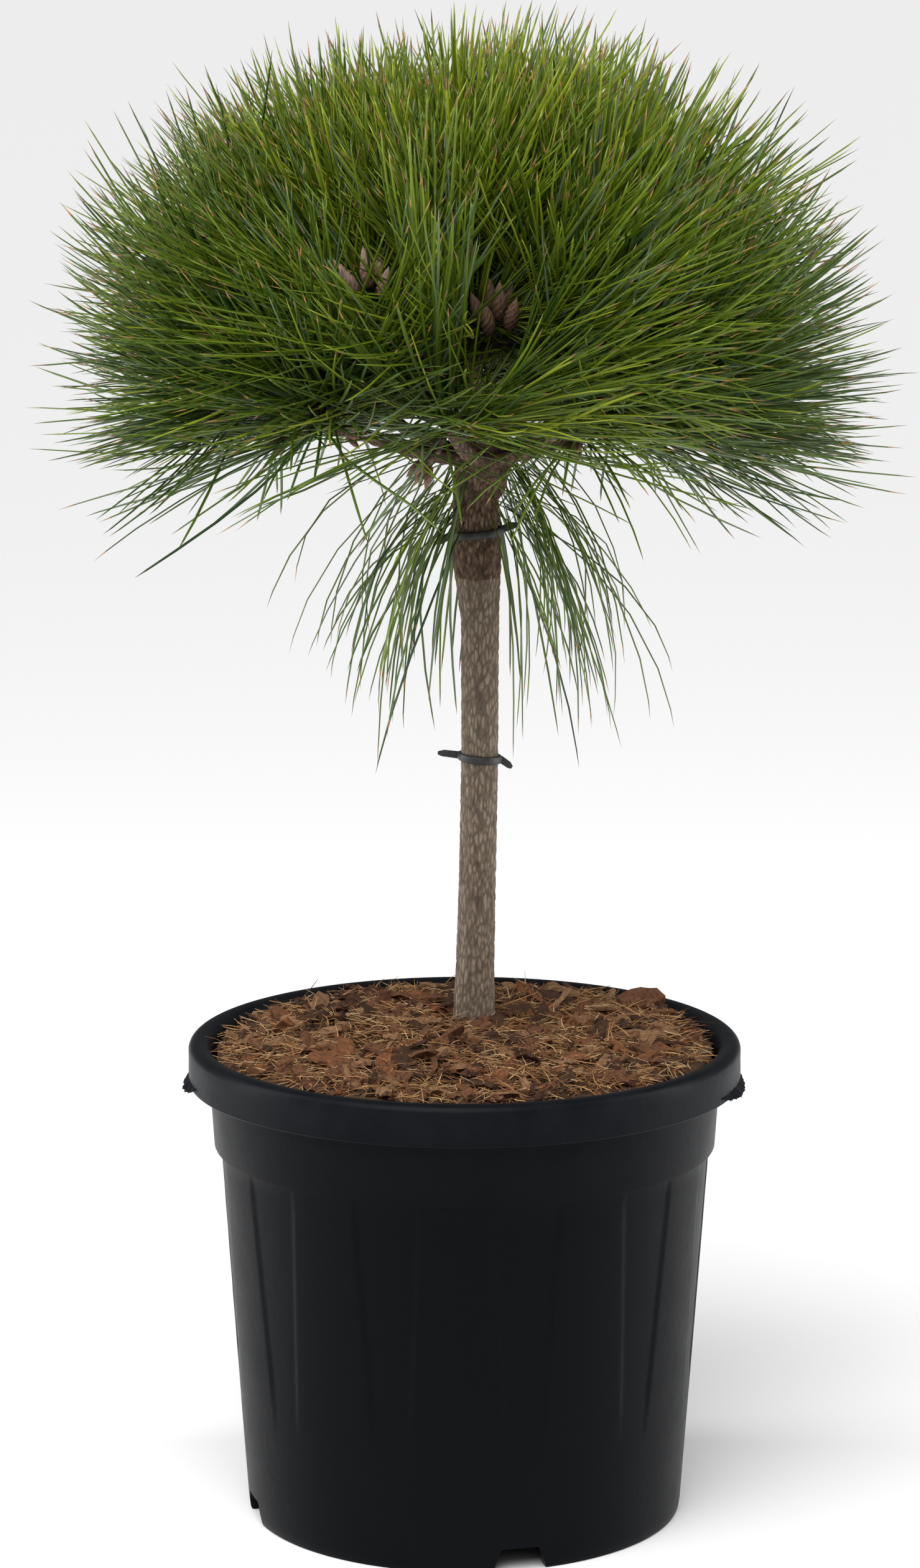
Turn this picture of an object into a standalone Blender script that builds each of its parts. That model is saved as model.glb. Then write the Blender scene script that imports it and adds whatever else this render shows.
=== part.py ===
"""Potted grafted pine: a short straight trunk with a round head of long needles, in a black nursery container.

Metres, +Z up. The origin is on the ground under the middle of the container, and -Y is the front.
"""
import math

import bmesh
import bpy
from mathutils import Vector, noise

GAP = 0.0003
FACETS = 44

# Container
POT_HEIGHT = 0.2634
RIM_RADIUS = 0.1500
RIM_RIDGE_RADIUS = 0.1462
RIM_DROP = 0.0224
RIM_WALL = 0.0022
MOUTH_RADIUS = 0.1392
COLLAR_TOP_RADIUS = 0.1386
COLLAR_FOOT_RADIUS = 0.1363
COLLAR_FOOT_Z = 0.2053
BODY_TOP_RADIUS = 0.1334
BODY_FOOT_RADIUS = 0.1190
BODY_FOOT_Z = 0.0060
FLUTE_END_Z = 0.0600
FLUTE_DEPTH = 0.0008
FLUTE_COUNT = 11
WALL = 0.0025
FOOT_INNER_RADIUS = 0.1100
CHANNEL_INNER_RADIUS = 0.0880
CHANNEL_HEIGHT = 0.0145
CENTRE_LIFT = 0.0015
CENTRE_SLOPE = 0.0020
NOTCH_COUNT = 4
NOTCH_FIRST_TURN = math.radians(14.4 - 90.0)
NOTCH_WIDTH = 0.0310
NOTCH_HEIGHT = 0.0128
NOTCH_TAPER = 0.0050

# Growing medium
SOIL_Z = 0.2450
MULCH_RADIUS = 0.1345
MULCH_EDGE_Z = 0.2600
MULCH_CROWN_Z = 0.2740
MULCH_BUMP = 0.0020
MULCH_RINGS = 4
MULCH_FACETS = 28

# Trunk stations from the soil to the fork: height, sideways place and diameter
TRUNK_STATIONS = (
    (SOIL_Z + GAP, 0.0047, 0.0262),
    (0.2560, 0.0047, 0.0250),
    (0.2680, 0.0050, 0.0232),
    (0.3000, 0.0057, 0.0208),
    (0.3560, 0.0071, 0.0199),
    (0.4240, 0.0082, 0.0198),
    (0.4920, 0.0082, 0.0204),
    (0.5120, 0.0072, 0.0238),
    (0.5290, 0.0063, 0.0266),
    (0.5450, 0.0058, 0.0250),
    (0.5590, 0.0058, 0.0241),
    (0.5700, 0.0085, 0.0290),
    (0.5800, 0.0103, 0.0310),
    (0.5885, 0.0106, 0.0230),
    (0.5925, 0.0106, 0.0120),
)
TRUNK_FOOT_Y = 0.0150
TRUNK_FORK_Y = 0.0040
TRUNK_SIDES = 12

# Crown: needles' reach from the heart, by elevation in degrees
HEART = Vector((-0.0020, 0.0, 0.6000))
CROWN_OUTLINE = ((-30.0, 0.1900), (-12.0, 0.2300), (5.0, 0.2400), (38.0, 0.2520), (64.0, 0.2260), (90.0, 0.2180))
UNDERSIDE_DROP = math.radians(18.0)
MASS_GAP = 0.0006
MASS_ROUNDNESS = 7.0
MASS_UNEVENNESS = 0.16
LUMP_SIZE = 0.030
MASS_SEGMENTS = 12
MASS_RINGS = 9
LOWER_AZIMUTHS = (-4.0, 41.0, 86.0, 131.0, 176.0, -139.0, -94.0, -49.0)
LOWER_ELEVATION = 5.0
UPPER_AZIMUTHS = (-84.0, -28.0, 38.0, 100.0, 165.0, -132.0)
UPPER_ELEVATION = 43.0
LOWER_START = 0.0780
UPPER_START = 0.0720
TOP_START = 0.0800

# Boughs
FORK = Vector((0.0103, TRUNK_FORK_Y, 0.5790))
BOUGH_SEAT = 0.0140
BOUGH_POINTS = 5
BOUGH_SIDES = 8
LOWER_BOUGH_DIAMETERS = (0.0090, 0.0060)
UPPER_BOUGH_DIAMETERS = (0.0080, 0.0056)
LEADER_DIAMETERS = (0.0092, 0.0062)

# Needles that hang round the top of the trunk
HANGING_AZIMUTHS = (-158.0, -92.0, -24.0, 44.0, 118.0)
HANGING_PATH = ((0.0100, 0.5640), (0.0560, 0.5580), (0.0720, 0.4360))
HANGING_TOP_WIDTH = 0.0070
HANGING_WIDTH = 0.0190
HANGING_THICKNESS = 0.0060
HANGING_SEGMENTS = 8
HANGING_RINGS = 8

# Ties round the trunk
TIE_HEIGHT = 0.0043
TIE_THICKNESS = 0.0018
TIE_CLEARANCE = 0.0006
TIE_FACETS = 16
UPPER_TIE_Z = 0.5395
LOWER_TIE_Z = 0.4165
TAIL_THICKNESS = 0.0016

PARTS = "potted_pine"
CUTTERS = "cutters"

MATERIALS = {
    "moulded_plastic": ((0.012, 0.014, 0.018), 0.42),
    "root_ball_soil": ((0.045, 0.028, 0.018), 0.95),
    "bark_mulch": ((0.200, 0.085, 0.038), 0.90),
    "trunk_bark": ((0.200, 0.160, 0.120), 0.88),
    "bough_bark": ((0.170, 0.115, 0.080), 0.88),
    "needles_lit": ((0.170, 0.270, 0.035), 0.50),
    "needles_deep": ((0.075, 0.165, 0.035), 0.50),
    "tie_rubber": ((0.015, 0.015, 0.016), 0.45),
}


def clear_scene():
    for obj in list(bpy.data.objects):
        bpy.data.objects.remove(obj)


def new_collection(name):
    collection = bpy.data.collections.new(name)
    bpy.context.scene.collection.children.link(collection)
    return collection


def material(name):
    found = bpy.data.materials.get(name)
    if found:
        return found
    colour, roughness = MATERIALS[name]
    made = bpy.data.materials.new(name)
    made.use_nodes = True
    shader = made.node_tree.nodes["Principled BSDF"]
    shader.inputs["Base Color"].default_value = (*colour, 1.0)
    shader.inputs["Roughness"].default_value = roughness
    shader.inputs["Metallic"].default_value = 0.0
    return made


def add_part(name, mesh, finish):
    """Link a mesh as a sub-part with its own material."""
    mesh.name = name
    mesh.materials.clear()
    mesh.materials.append(material(finish))
    mesh.shade_smooth()
    mesh.set_sharp_from_angle(angle=math.radians(40.0))
    part = bpy.data.objects.new(name, mesh)
    bpy.data.collections[PARTS].objects.link(part)
    return part


def add_cutter(name, mesh):
    cutter = bpy.data.objects.new(name, mesh)
    cutter.hide_render = True
    cutter.display_type = "WIRE"
    bpy.data.collections[CUTTERS].objects.link(cutter)
    return cutter


def boolean(part, other, operation="DIFFERENCE"):
    modifier = part.modifiers.new(other.name, "BOOLEAN")
    modifier.operation = operation
    modifier.object = other


def baked(obj):
    """Turn a curve or a mesh with modifiers into a plain welded mesh, and remove the object."""
    bpy.context.view_layer.update()
    evaluated = obj.evaluated_get(bpy.context.evaluated_depsgraph_get())
    mesh = bpy.data.meshes.new_from_object(evaluated)
    mesh.transform(obj.matrix_world)
    shape = bmesh.new()
    shape.from_mesh(mesh)
    bmesh.ops.remove_doubles(shape, verts=shape.verts, dist=0.00001)
    shape.to_mesh(mesh)
    shape.free()
    bpy.data.objects.remove(obj)
    return mesh


def turned(outline, facets):
    """Turn an outline of (radius, height) points round Z; it runs down its outer side."""
    mesh = bpy.data.meshes.new("outline")
    edges = [(i, i + 1) for i in range(len(outline) - 1)]
    mesh.from_pydata([(radius, 0.0, height) for radius, height in outline], edges, [])
    obj = bpy.data.objects.new("outline", mesh)
    bpy.context.scene.collection.objects.link(obj)
    screw = obj.modifiers.new("turn", "SCREW")
    screw.steps = facets
    screw.render_steps = facets
    screw.use_merge_vertices = True
    screw.merge_threshold = 0.00001
    screw.use_smooth_shade = True
    return baked(obj)


def limb(points, radii, sides):
    """Tapering round limb through the points, with flat ends."""
    curve = bpy.data.curves.new("limb", "CURVE")
    curve.dimensions = "3D"
    curve.bevel_depth = 1.0
    curve.bevel_resolution = (sides - 4) // 2
    curve.use_fill_caps = True
    spline = curve.splines.new("POLY")
    spline.points.add(len(points) - 1)
    for place, point, radius in zip(spline.points, points, radii):
        place.co = (*point, 1.0)
        place.radius = radius
    obj = bpy.data.objects.new("limb", curve)
    bpy.context.scene.collection.objects.link(obj)
    return baked(obj)


def clearance_limb(name, points, radii, sides, start=GAP, end=GAP):
    """Cutter that clears a limb by the gap all round, and by start and end past its two ends."""
    first = points[0] + (points[0] - points[1]).normalized() * start
    last = points[-1] + (points[-1] - points[-2]).normalized() * end
    widened = [radius + GAP for radius in (radii[0], *radii, radii[-1])]
    return add_cutter(name, limb([first, *points, last], widened, sides))


def interpolate(value, pairs):
    """Value read off a rising table of (key, value) pairs."""
    if value <= pairs[0][0]:
        return pairs[0][1]
    for (low, low_value), (high, high_value) in zip(pairs, pairs[1:]):
        if value <= high:
            return low_value + (high_value - low_value) * (value - low) / (high - low)
    return pairs[-1][1]


def direction(azimuth, elevation):
    turn = math.radians(azimuth)
    rise = math.radians(elevation)
    return Vector((math.cos(turn) * math.cos(rise), math.sin(turn) * math.cos(rise), math.sin(rise)))


def bezier(points, t):
    start, bend, end = points
    return start * (1.0 - t) ** 2 + bend * 2.0 * t * (1.0 - t) + end * t ** 2


def body_radius(height):
    return interpolate(height, ((BODY_FOOT_Z, BODY_FOOT_RADIUS), (COLLAR_FOOT_Z, BODY_TOP_RADIUS)))


def pot_inside():
    """Inner outline of the container: floor, channel, wall and collar, from the axis outwards and up."""
    return [
        (0.0, CENTRE_LIFT + WALL),
        (CHANNEL_INNER_RADIUS - WALL - CENTRE_SLOPE, CENTRE_LIFT + WALL),
        (CHANNEL_INNER_RADIUS - WALL, CHANNEL_HEIGHT + WALL),
        (body_radius(CHANNEL_HEIGHT) - WALL, CHANNEL_HEIGHT + WALL),
        (BODY_TOP_RADIUS - WALL, COLLAR_FOOT_Z - 0.001),
        (COLLAR_FOOT_RADIUS - WALL, COLLAR_FOOT_Z + 0.002),
        (COLLAR_TOP_RADIUS - WALL, POT_HEIGHT - 0.0090),
    ]


def pot_outside():
    """Outer outline: rolled rim, collar, body, foot ring and the channel under the floor."""
    rim_low = POT_HEIGHT - RIM_DROP
    return [
        (MOUTH_RADIUS, POT_HEIGHT - 0.0022),
        (RIM_RIDGE_RADIUS - 0.0035, POT_HEIGHT),
        (RIM_RIDGE_RADIUS + 0.0016, POT_HEIGHT - 0.0006),
        (RIM_RADIUS - 0.0004, POT_HEIGHT - 0.0048),
        (RIM_RADIUS, POT_HEIGHT - 0.0120),
        (RIM_RADIUS, rim_low),
        (RIM_RADIUS - RIM_WALL, rim_low),
        (RIM_RADIUS - RIM_WALL - 0.0004, POT_HEIGHT - 0.0060),
        (COLLAR_TOP_RADIUS + 0.0008, POT_HEIGHT - 0.0060),
        (COLLAR_TOP_RADIUS, rim_low),
        (COLLAR_FOOT_RADIUS, COLLAR_FOOT_Z + 0.0010),
        (COLLAR_FOOT_RADIUS - 0.0010, COLLAR_FOOT_Z),
        (BODY_TOP_RADIUS, COLLAR_FOOT_Z - 0.0004),
        (body_radius(FLUTE_END_Z), FLUTE_END_Z),
        (BODY_FOOT_RADIUS, BODY_FOOT_Z),
        (BODY_FOOT_RADIUS - 0.0006, 0.0018),
        (BODY_FOOT_RADIUS - 0.0024, 0.0),
        (FOOT_INNER_RADIUS, 0.0),
        (FOOT_INNER_RADIUS + 0.0005, CHANNEL_HEIGHT),
        (CHANNEL_INNER_RADIUS, CHANNEL_HEIGHT),
        (CHANNEL_INNER_RADIUS - CENTRE_SLOPE, CENTRE_LIFT),
        (0.0, CENTRE_LIFT),
    ]


def flute(mesh):
    """Sink every other panel of the body's outer wall, deepest at the top."""
    for vertex in mesh.vertices:
        radius = math.hypot(vertex.co.x, vertex.co.y)
        on_wall = FLUTE_END_Z < vertex.co.z < COLLAR_FOOT_Z
        if not on_wall or radius < body_radius(vertex.co.z) - 0.5 * WALL:
            continue
        turn = math.atan2(vertex.co.y, vertex.co.x) / math.tau % 1.0
        if turn * FLUTE_COUNT % 1.0 > 0.49:
            scale = (radius - FLUTE_DEPTH) / radius
            vertex.co.x *= scale
            vertex.co.y *= scale


def notch_cutter(index):
    """Trapezoid drainage notch that opens the foot ring to the outside."""
    mesh = bpy.data.meshes.new("notch")
    shape = bmesh.new()
    bmesh.ops.create_cube(shape, size=1.0)
    depth = BODY_FOOT_RADIUS - FOOT_INNER_RADIUS
    for vertex in shape.verts:
        top = vertex.co.z > 0.0
        vertex.co.x = (FOOT_INNER_RADIUS + BODY_FOOT_RADIUS) * 0.5 + math.copysign(depth, vertex.co.x)
        vertex.co.y = math.copysign(NOTCH_WIDTH * 0.5 - (NOTCH_TAPER if top else 0.0), vertex.co.y)
        vertex.co.z = NOTCH_HEIGHT if top else -0.001
    shape.to_mesh(mesh)
    shape.free()
    cutter = add_cutter(f"notch_{index + 1}", mesh)
    cutter.rotation_euler.z = NOTCH_FIRST_TURN + index * math.tau / NOTCH_COUNT
    return cutter


def build_pot():
    mesh = turned(pot_inside() + pot_outside(), FACETS)
    flute(mesh)
    pot = add_part("pot", mesh, "moulded_plastic")
    for index in range(NOTCH_COUNT):
        boolean(pot, notch_cutter(index))


def build_root_ball():
    """Moist growing medium that fills the container up to the soil level."""
    inside = pot_inside()
    slack = GAP + 0.0001
    wall_top = interpolate(SOIL_Z, ((COLLAR_FOOT_Z + 0.002, inside[5][0]), (POT_HEIGHT - 0.0090, inside[6][0])))
    outline = [(0.0, SOIL_Z), (wall_top - slack, SOIL_Z)]
    outline += [(radius - slack, height) for radius, height in reversed(inside[4:6])]
    outline += [(radius - slack, height + slack) for radius, height in reversed(inside[1:4])]
    outline.append((0.0, inside[0][1] + slack))
    add_part("root_ball", turned(outline, FACETS), "root_ball_soil")


def build_mulch(trunk_cutter):
    """Layer of bark mulch, heaped towards the trunk."""
    outline = [(0.0, MULCH_CROWN_Z)]
    for ring in range(1, MULCH_RINGS + 1):
        share = ring / MULCH_RINGS
        height = MULCH_CROWN_Z + (MULCH_EDGE_Z - MULCH_CROWN_Z) * share ** 1.5
        outline.append((MULCH_RADIUS * share, height))
    outline += [(MULCH_RADIUS - 0.0006, SOIL_Z + GAP), (0.0, SOIL_Z + GAP)]
    mesh = turned(outline, MULCH_FACETS)
    for vertex in mesh.vertices:
        if vertex.co.z > SOIL_Z + 0.005:
            bump = noise.noise(vertex.co / 0.018)
            vertex.co.z += MULCH_BUMP * max(-1.0, min(1.0, bump * 2.0))
    boolean(add_part("mulch", mesh, "bark_mulch"), trunk_cutter)


def trunk_point(height, sideways):
    rise = max(0.0, height - TRUNK_STATIONS[1][0]) / (FORK.z - TRUNK_STATIONS[1][0])
    return Vector((sideways, TRUNK_FOOT_Y + (TRUNK_FORK_Y - TRUNK_FOOT_Y) * min(1.0, rise), height))


def trunk_line():
    points = [trunk_point(height, sideways) for height, sideways, _ in TRUNK_STATIONS]
    return points, [diameter * 0.5 for _, _, diameter in TRUNK_STATIONS]


def trunk_axis(height):
    return trunk_point(height, interpolate(height, [station[:2] for station in TRUNK_STATIONS]))


def trunk_radius(height):
    return 0.5 * interpolate(height, [station[::2] for station in TRUNK_STATIONS])


def build_trunk():
    points, radii = trunk_line()
    add_part("trunk", limb(points, radii, TRUNK_SIDES), "trunk_bark")
    return clearance_limb("trunk_clearance", points, radii, TRUNK_SIDES, start=0.01)


def crown_cells():
    """Every foliage mass as (name, bough name, direction, distance of its inner end, bough diameters)."""
    cells = []
    for index, azimuth in enumerate(LOWER_AZIMUTHS, 1):
        way = direction(azimuth, LOWER_ELEVATION)
        cells.append((f"lower_mass_{index}", f"lower_bough_{index}", way, LOWER_START, LOWER_BOUGH_DIAMETERS))
    for index, azimuth in enumerate(UPPER_AZIMUTHS, 1):
        way = direction(azimuth, UPPER_ELEVATION)
        cells.append((f"upper_mass_{index}", f"upper_bough_{index}", way, UPPER_START, UPPER_BOUGH_DIAMETERS))
    cells.append(("top_mass", "leader", direction(0.0, 90.0), TOP_START, LEADER_DIAMETERS))
    return cells


def cell_planes(way, start, others):
    """Planes (normal, offset from the heart) that bound one mass: neighbours, inner end and underside."""
    planes = [((other - way).normalized(), -0.5 * MASS_GAP) for other in others]
    planes.append((-way, -start))
    if way.z < 0.5:
        outwards = Vector((way.x, way.y, 0.0)).normalized() * math.sin(UNDERSIDE_DROP)
        planes.append((-outwards - Vector((0.0, 0.0, math.cos(UNDERSIDE_DROP))), 0.0))
    return planes


def crown_reach(offset):
    elevation = math.degrees(math.asin(max(-1.0, min(1.0, offset.z / offset.length))))
    return interpolate(elevation, CROWN_OUTLINE)


def distance_to_outline(centre, ray):
    """Distance along a ray from a point inside the crown to the crown's outline, by halving."""
    near = 0.0
    far = 0.6
    for _ in range(20):
        middle = 0.5 * (near + far)
        offset = centre + ray * middle
        if offset.length < crown_reach(offset):
            near = middle
        else:
            far = middle
    return near


def mass_mesh(way, planes, start, seed):
    """Uneven closed solid that fills its cell of the crown out to the needle tips."""
    centre = way * (0.52 * start + 0.48 * crown_reach(way))
    shape = bmesh.new()
    bmesh.ops.create_uvsphere(shape, u_segments=MASS_SEGMENTS, v_segments=MASS_RINGS, radius=1.0)
    turn = Vector((0.0, 0.0, 1.0)).rotation_difference(way)
    for vertex in shape.verts:
        ray = (turn @ vertex.co).normalized()
        limits = [distance_to_outline(centre, ray)]
        for normal, offset in planes:
            lean = ray.dot(normal)
            if lean > 0.001:
                limits.append((offset - centre.dot(normal)) / lean)
        distance = sum(limit ** -MASS_ROUNDNESS for limit in limits) ** (-1.0 / MASS_ROUNDNESS)
        lump = noise.noise((centre + ray * distance) / LUMP_SIZE + Vector((seed * 3.7, 0.0, 0.0)))
        spared = max(0.0, ray.dot(way)) ** 8 + max(0.0, -ray.dot(way)) ** 8
        distance *= 1.0 - MASS_UNEVENNESS * (0.5 + 0.5 * lump) * (1.0 - spared)
        vertex.co = HEART + centre + ray * distance
    mesh = bpy.data.meshes.new("mass")
    shape.to_mesh(mesh)
    shape.free()
    return mesh


def bough_line(way, start, diameters):
    """Centre line and radii of a bough from inside the fork to its seat in a mass."""
    end = HEART + way * (start + BOUGH_SEAT)
    flat = Vector((way.x, way.y, 0.0))
    bend = FORK + (end - FORK) * 0.45 - Vector((0.0, 0.0, 0.010)) * flat.length
    line = [bezier((FORK, bend, end), step / (BOUGH_POINTS - 1)) for step in range(BOUGH_POINTS)]
    root, tip = diameters
    radii = [0.5 * (root + (tip - root) * step / (BOUGH_POINTS - 1)) for step in range(BOUGH_POINTS)]
    return line, radii


def build_crown(trunk_cutter):
    cells = crown_cells()
    ways = [cell[2] for cell in cells]
    for index, (mass_name, bough_name, way, start, diameters) in enumerate(cells):
        line, radii = bough_line(way, start, diameters)
        boolean(add_part(bough_name, limb(line, radii, BOUGH_SIDES), "bough_bark"), trunk_cutter)
        others = [other for other in ways if other is not way]
        mesh = mass_mesh(way, cell_planes(way, start, others), start, index + 1)
        finish = "needles_deep" if way.z < 0.5 else "needles_lit"
        seat = clearance_limb(f"{bough_name}_seat", line, radii, BOUGH_SIDES)
        boolean(add_part(mass_name, mesh, finish), seat)


def hanging_mesh(azimuth):
    """Thin bunch that leaves the trunk under the fork, arches out and hangs."""
    outwards = direction(azimuth, 0.0)
    sideways = Vector((-outwards.y, outwards.x, 0.0))
    root = trunk_axis(HANGING_PATH[0][1])
    path = [Vector((radius, height, 0.0)) for radius, height in HANGING_PATH]
    shape = bmesh.new()
    bmesh.ops.create_uvsphere(shape, u_segments=HANGING_SEGMENTS, v_segments=HANGING_RINGS, radius=1.0)
    for vertex in shape.verts:
        t = 0.5 - 0.5 * vertex.co.z
        place = bezier(path, t)
        ahead = (bezier(path, t + 0.01) - bezier(path, t - 0.01)).normalized()
        width = HANGING_TOP_WIDTH + (HANGING_WIDTH - HANGING_TOP_WIDTH) * min(1.0, 2.0 * t)
        uneven = 1.0 - 0.3 * noise.noise(Vector((azimuth, 6.0 * t, vertex.co.x)))
        across = vertex.co.x * width * min(1.0, uneven)
        through = vertex.co.y * HANGING_THICKNESS
        radius = place.x - through * ahead.y
        height = place.y + through * ahead.x
        vertex.co = Vector((root.x, root.y, height)) + outwards * radius + sideways * across
    bmesh.ops.recalc_face_normals(shape, faces=shape.faces)
    mesh = bpy.data.meshes.new("hanging")
    shape.to_mesh(mesh)
    shape.free()
    return mesh


def build_hanging_masses(trunk_cutter):
    for index, azimuth in enumerate(HANGING_AZIMUTHS, 1):
        boolean(add_part(f"hanging_mass_{index}", hanging_mesh(azimuth), "needles_deep"), trunk_cutter)


def tail(name, length, rise, pitch, azimuth, ring_radius):
    """Flat free end of a tie, starting inside the ring's wall."""
    mesh = bpy.data.meshes.new(name)
    shape = bmesh.new()
    bmesh.ops.create_cube(shape, size=1.0)
    for vertex in shape.verts:
        vertex.co.x = (vertex.co.x + 0.5) * length
        vertex.co.y *= TAIL_THICKNESS
        vertex.co.z *= TIE_HEIGHT * (0.92 if vertex.co.x < 0.5 * length else 0.70)
    shape.to_mesh(mesh)
    shape.free()
    end = add_cutter(name, mesh)
    end.rotation_euler = (0.0, pitch, math.radians(azimuth))
    end.location = direction(azimuth, 0.0) * (ring_radius + 0.3 * TIE_THICKNESS) + Vector((0.0, 0.0, rise))
    return end


def build_tie(name, height, lean, tails):
    """Flat strap round the trunk, leaning a little, with its two free ends."""
    half = 0.5 * TIE_HEIGHT
    widest = max(trunk_radius(height - 1.4 * half), trunk_radius(height + 1.4 * half))
    inner = widest / math.cos(math.pi / TIE_FACETS) + TIE_CLEARANCE
    outline = [
        (inner, half),
        (inner + TIE_THICKNESS, 0.6 * half),
        (inner + TIE_THICKNESS, -0.6 * half),
        (inner, -half),
        (inner, half),
    ]
    tie = add_part(name, turned(outline, TIE_FACETS), "tie_rubber")
    tie.location = trunk_axis(height)
    tie.rotation_euler.y = math.radians(lean)
    for index, (length, rise, pitch, azimuth) in enumerate(tails, 1):
        end = tail(f"{name}_tail_{index}", length, rise, math.radians(pitch), azimuth, inner)
        end.parent = tie
        boolean(tie, end, "UNION")


def main():
    clear_scene()
    new_collection(PARTS)
    new_collection(CUTTERS)
    build_pot()
    build_root_ball()
    trunk_cutter = build_trunk()
    build_mulch(trunk_cutter)
    build_crown(trunk_cutter)
    build_hanging_masses(trunk_cutter)
    build_tie("upper_tie", UPPER_TIE_Z, -5.0, ((0.0090, 0.0, 28.0, 190.0), (0.0100, 0.0005, -16.0, 12.0)))
    build_tie("lower_tie", LOWER_TIE_Z, 5.0, ((0.0120, 0.0, -5.0, 172.0), (0.0085, 0.0, 36.0, 8.0)))


main()
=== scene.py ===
"""Looks of a potted grafted pine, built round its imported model.

Metres, +Z up. The origin is on the ground under the middle of the container, and -Y is the front.
"""
import math

import bpy
import numpy as np
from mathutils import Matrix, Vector, noise


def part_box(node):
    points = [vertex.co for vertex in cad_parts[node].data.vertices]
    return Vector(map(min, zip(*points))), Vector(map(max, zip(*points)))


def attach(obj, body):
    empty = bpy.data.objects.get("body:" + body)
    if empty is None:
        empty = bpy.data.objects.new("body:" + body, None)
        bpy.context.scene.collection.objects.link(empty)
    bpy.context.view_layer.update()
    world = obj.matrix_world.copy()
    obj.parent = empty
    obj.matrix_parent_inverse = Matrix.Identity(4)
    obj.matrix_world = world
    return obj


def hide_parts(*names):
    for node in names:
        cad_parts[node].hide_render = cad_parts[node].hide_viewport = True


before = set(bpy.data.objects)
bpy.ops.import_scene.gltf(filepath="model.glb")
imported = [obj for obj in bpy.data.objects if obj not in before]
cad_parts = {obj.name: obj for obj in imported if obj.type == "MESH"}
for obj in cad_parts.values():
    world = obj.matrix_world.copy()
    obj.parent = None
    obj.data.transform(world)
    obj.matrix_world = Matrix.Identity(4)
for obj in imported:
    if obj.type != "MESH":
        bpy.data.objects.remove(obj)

bl_info = {
    "name": "Potted pine",
    "version": (1, 0, 0),
    "blender": (4, 5, 0),
    "location": "3D View > Sidebar > Potted pine",
    "description": "Builds a grafted pine with long needles in a black nursery container",
    "category": "Object",
}

BODY = "root"

# Container outline
POT_HEIGHT = float(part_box("pot")[1][2])
RIM_RADIUS = 0.1500
RIM_RIDGE_RADIUS = 0.1462
RIM_DROP = 0.0224
RIM_WALL = 0.0022
MOUTH_RADIUS = 0.1392
COLLAR_TOP_RADIUS = 0.1386
COLLAR_FOOT_RADIUS = 0.1363
COLLAR_FOOT_Z = 0.2053
BODY_TOP_RADIUS = 0.1334
BODY_FOOT_RADIUS = 0.1190
BODY_FOOT_Z = 0.0060
WALL = 0.0025
FOOT_INNER_RADIUS = 0.1100
CHANNEL_INNER_RADIUS = 0.0880
CHANNEL_HEIGHT = 0.0145
CENTRE_LIFT = 0.0015
CENTRE_SLOPE = 0.0020
FLUTE_TOP_Z = 0.2035
FLUTE_END_Z = 0.0600
FLUTE_DEPTH = 0.0009
FLUTE_COUNT = 11
FLUTE_FIRST_TURN = math.radians(-108.3)
FLUTE_TOP_HALF = math.radians(8.0)
FLUTE_FOOT_HALF = math.radians(4.3)
FLUTE_SHOULDER = math.radians(0.9)
NOTCH_COUNT = 4
NOTCH_FIRST_TURN = math.radians(14.4 - 90.0)
NOTCH_WIDTH = 0.0310
NOTCH_HEIGHT = 0.0128
NOTCH_TAPER = 0.0050
NOTCH_CUT_HALF = 0.0080
NOTCH_ROUNDING = 0.0016

# Torn flash under the rim: piece, first and last turn in degrees, seed
FLASHES = (("rim_flash_right", -24.0, -3.0, 5), ("rim_flash_left", -178.0, -164.0, 9))
FLASH_STEPS = 34
FLASH_THICKNESS = 0.0005

# Growing medium
SOIL_Z = 0.2450
MULCH_RADIUS = 0.1345
MULCH_EDGE_Z = 0.2580
MULCH_CROWN_Z = 0.2700
MULCH_RINGS = 44
MULCH_STEPS = 176
TRUNK_CLEARANCE = 0.0150
# Lumps of the mulch's surface: size, slice of the noise and height
MULCH_LUMPS = ((0.030, 0.7, 0.0034), (0.009, 4.2, 0.0016))

# Bark chips, with the lengths clipped to a range and shorter near the container
CHIP_EDGE_GAP = 0.0060
CHIP_EDGE_BAND = 0.022
CHIP_LENGTH_SHAPE = 4.0
CHIP_LENGTH_SCALE = 0.0034
CHIP_LENGTHS = (0.005, 0.030)
CHIP_EDGE_LENGTHS = (0.005, 0.015)
CHIP_WIDTH_SHARE = (0.28, 0.66)
CHIP_THICKNESS = (0.0018, 0.0052)
CHIP_TILT = 0.30
CHIP_ROLL = 0.45
CHIP_LIFT = (-0.0012, 0.0042)
CHIP_TEMPLATES = 8
CHIP_SHARES = (0.36, 0.18, 0.32, 0.14)
# Large chips at places of their own: place, length, width, thickness, turn, tilt and roll
LARGE_CHIPS = (
    ((-0.0250, 0.0500, 0.2740), 0.034, 0.010, 0.0045, 2.95, -0.08, 0.3),
    ((0.0980, 0.0720, 0.2680), 0.024, 0.014, 0.0060, 0.30, -0.16, 0.5),
    ((0.0550, 0.0850, 0.2700), 0.020, 0.009, 0.0045, 2.60, -0.20, 0.2),
    ((-0.0700, -0.0650, 0.2680), 0.026, 0.014, 0.0040, 0.60, 0.10, 0.2),
    ((0.1000, -0.0350, 0.2650), 0.024, 0.015, 0.0050, 1.10, 0.05, 0.3),
)

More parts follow.
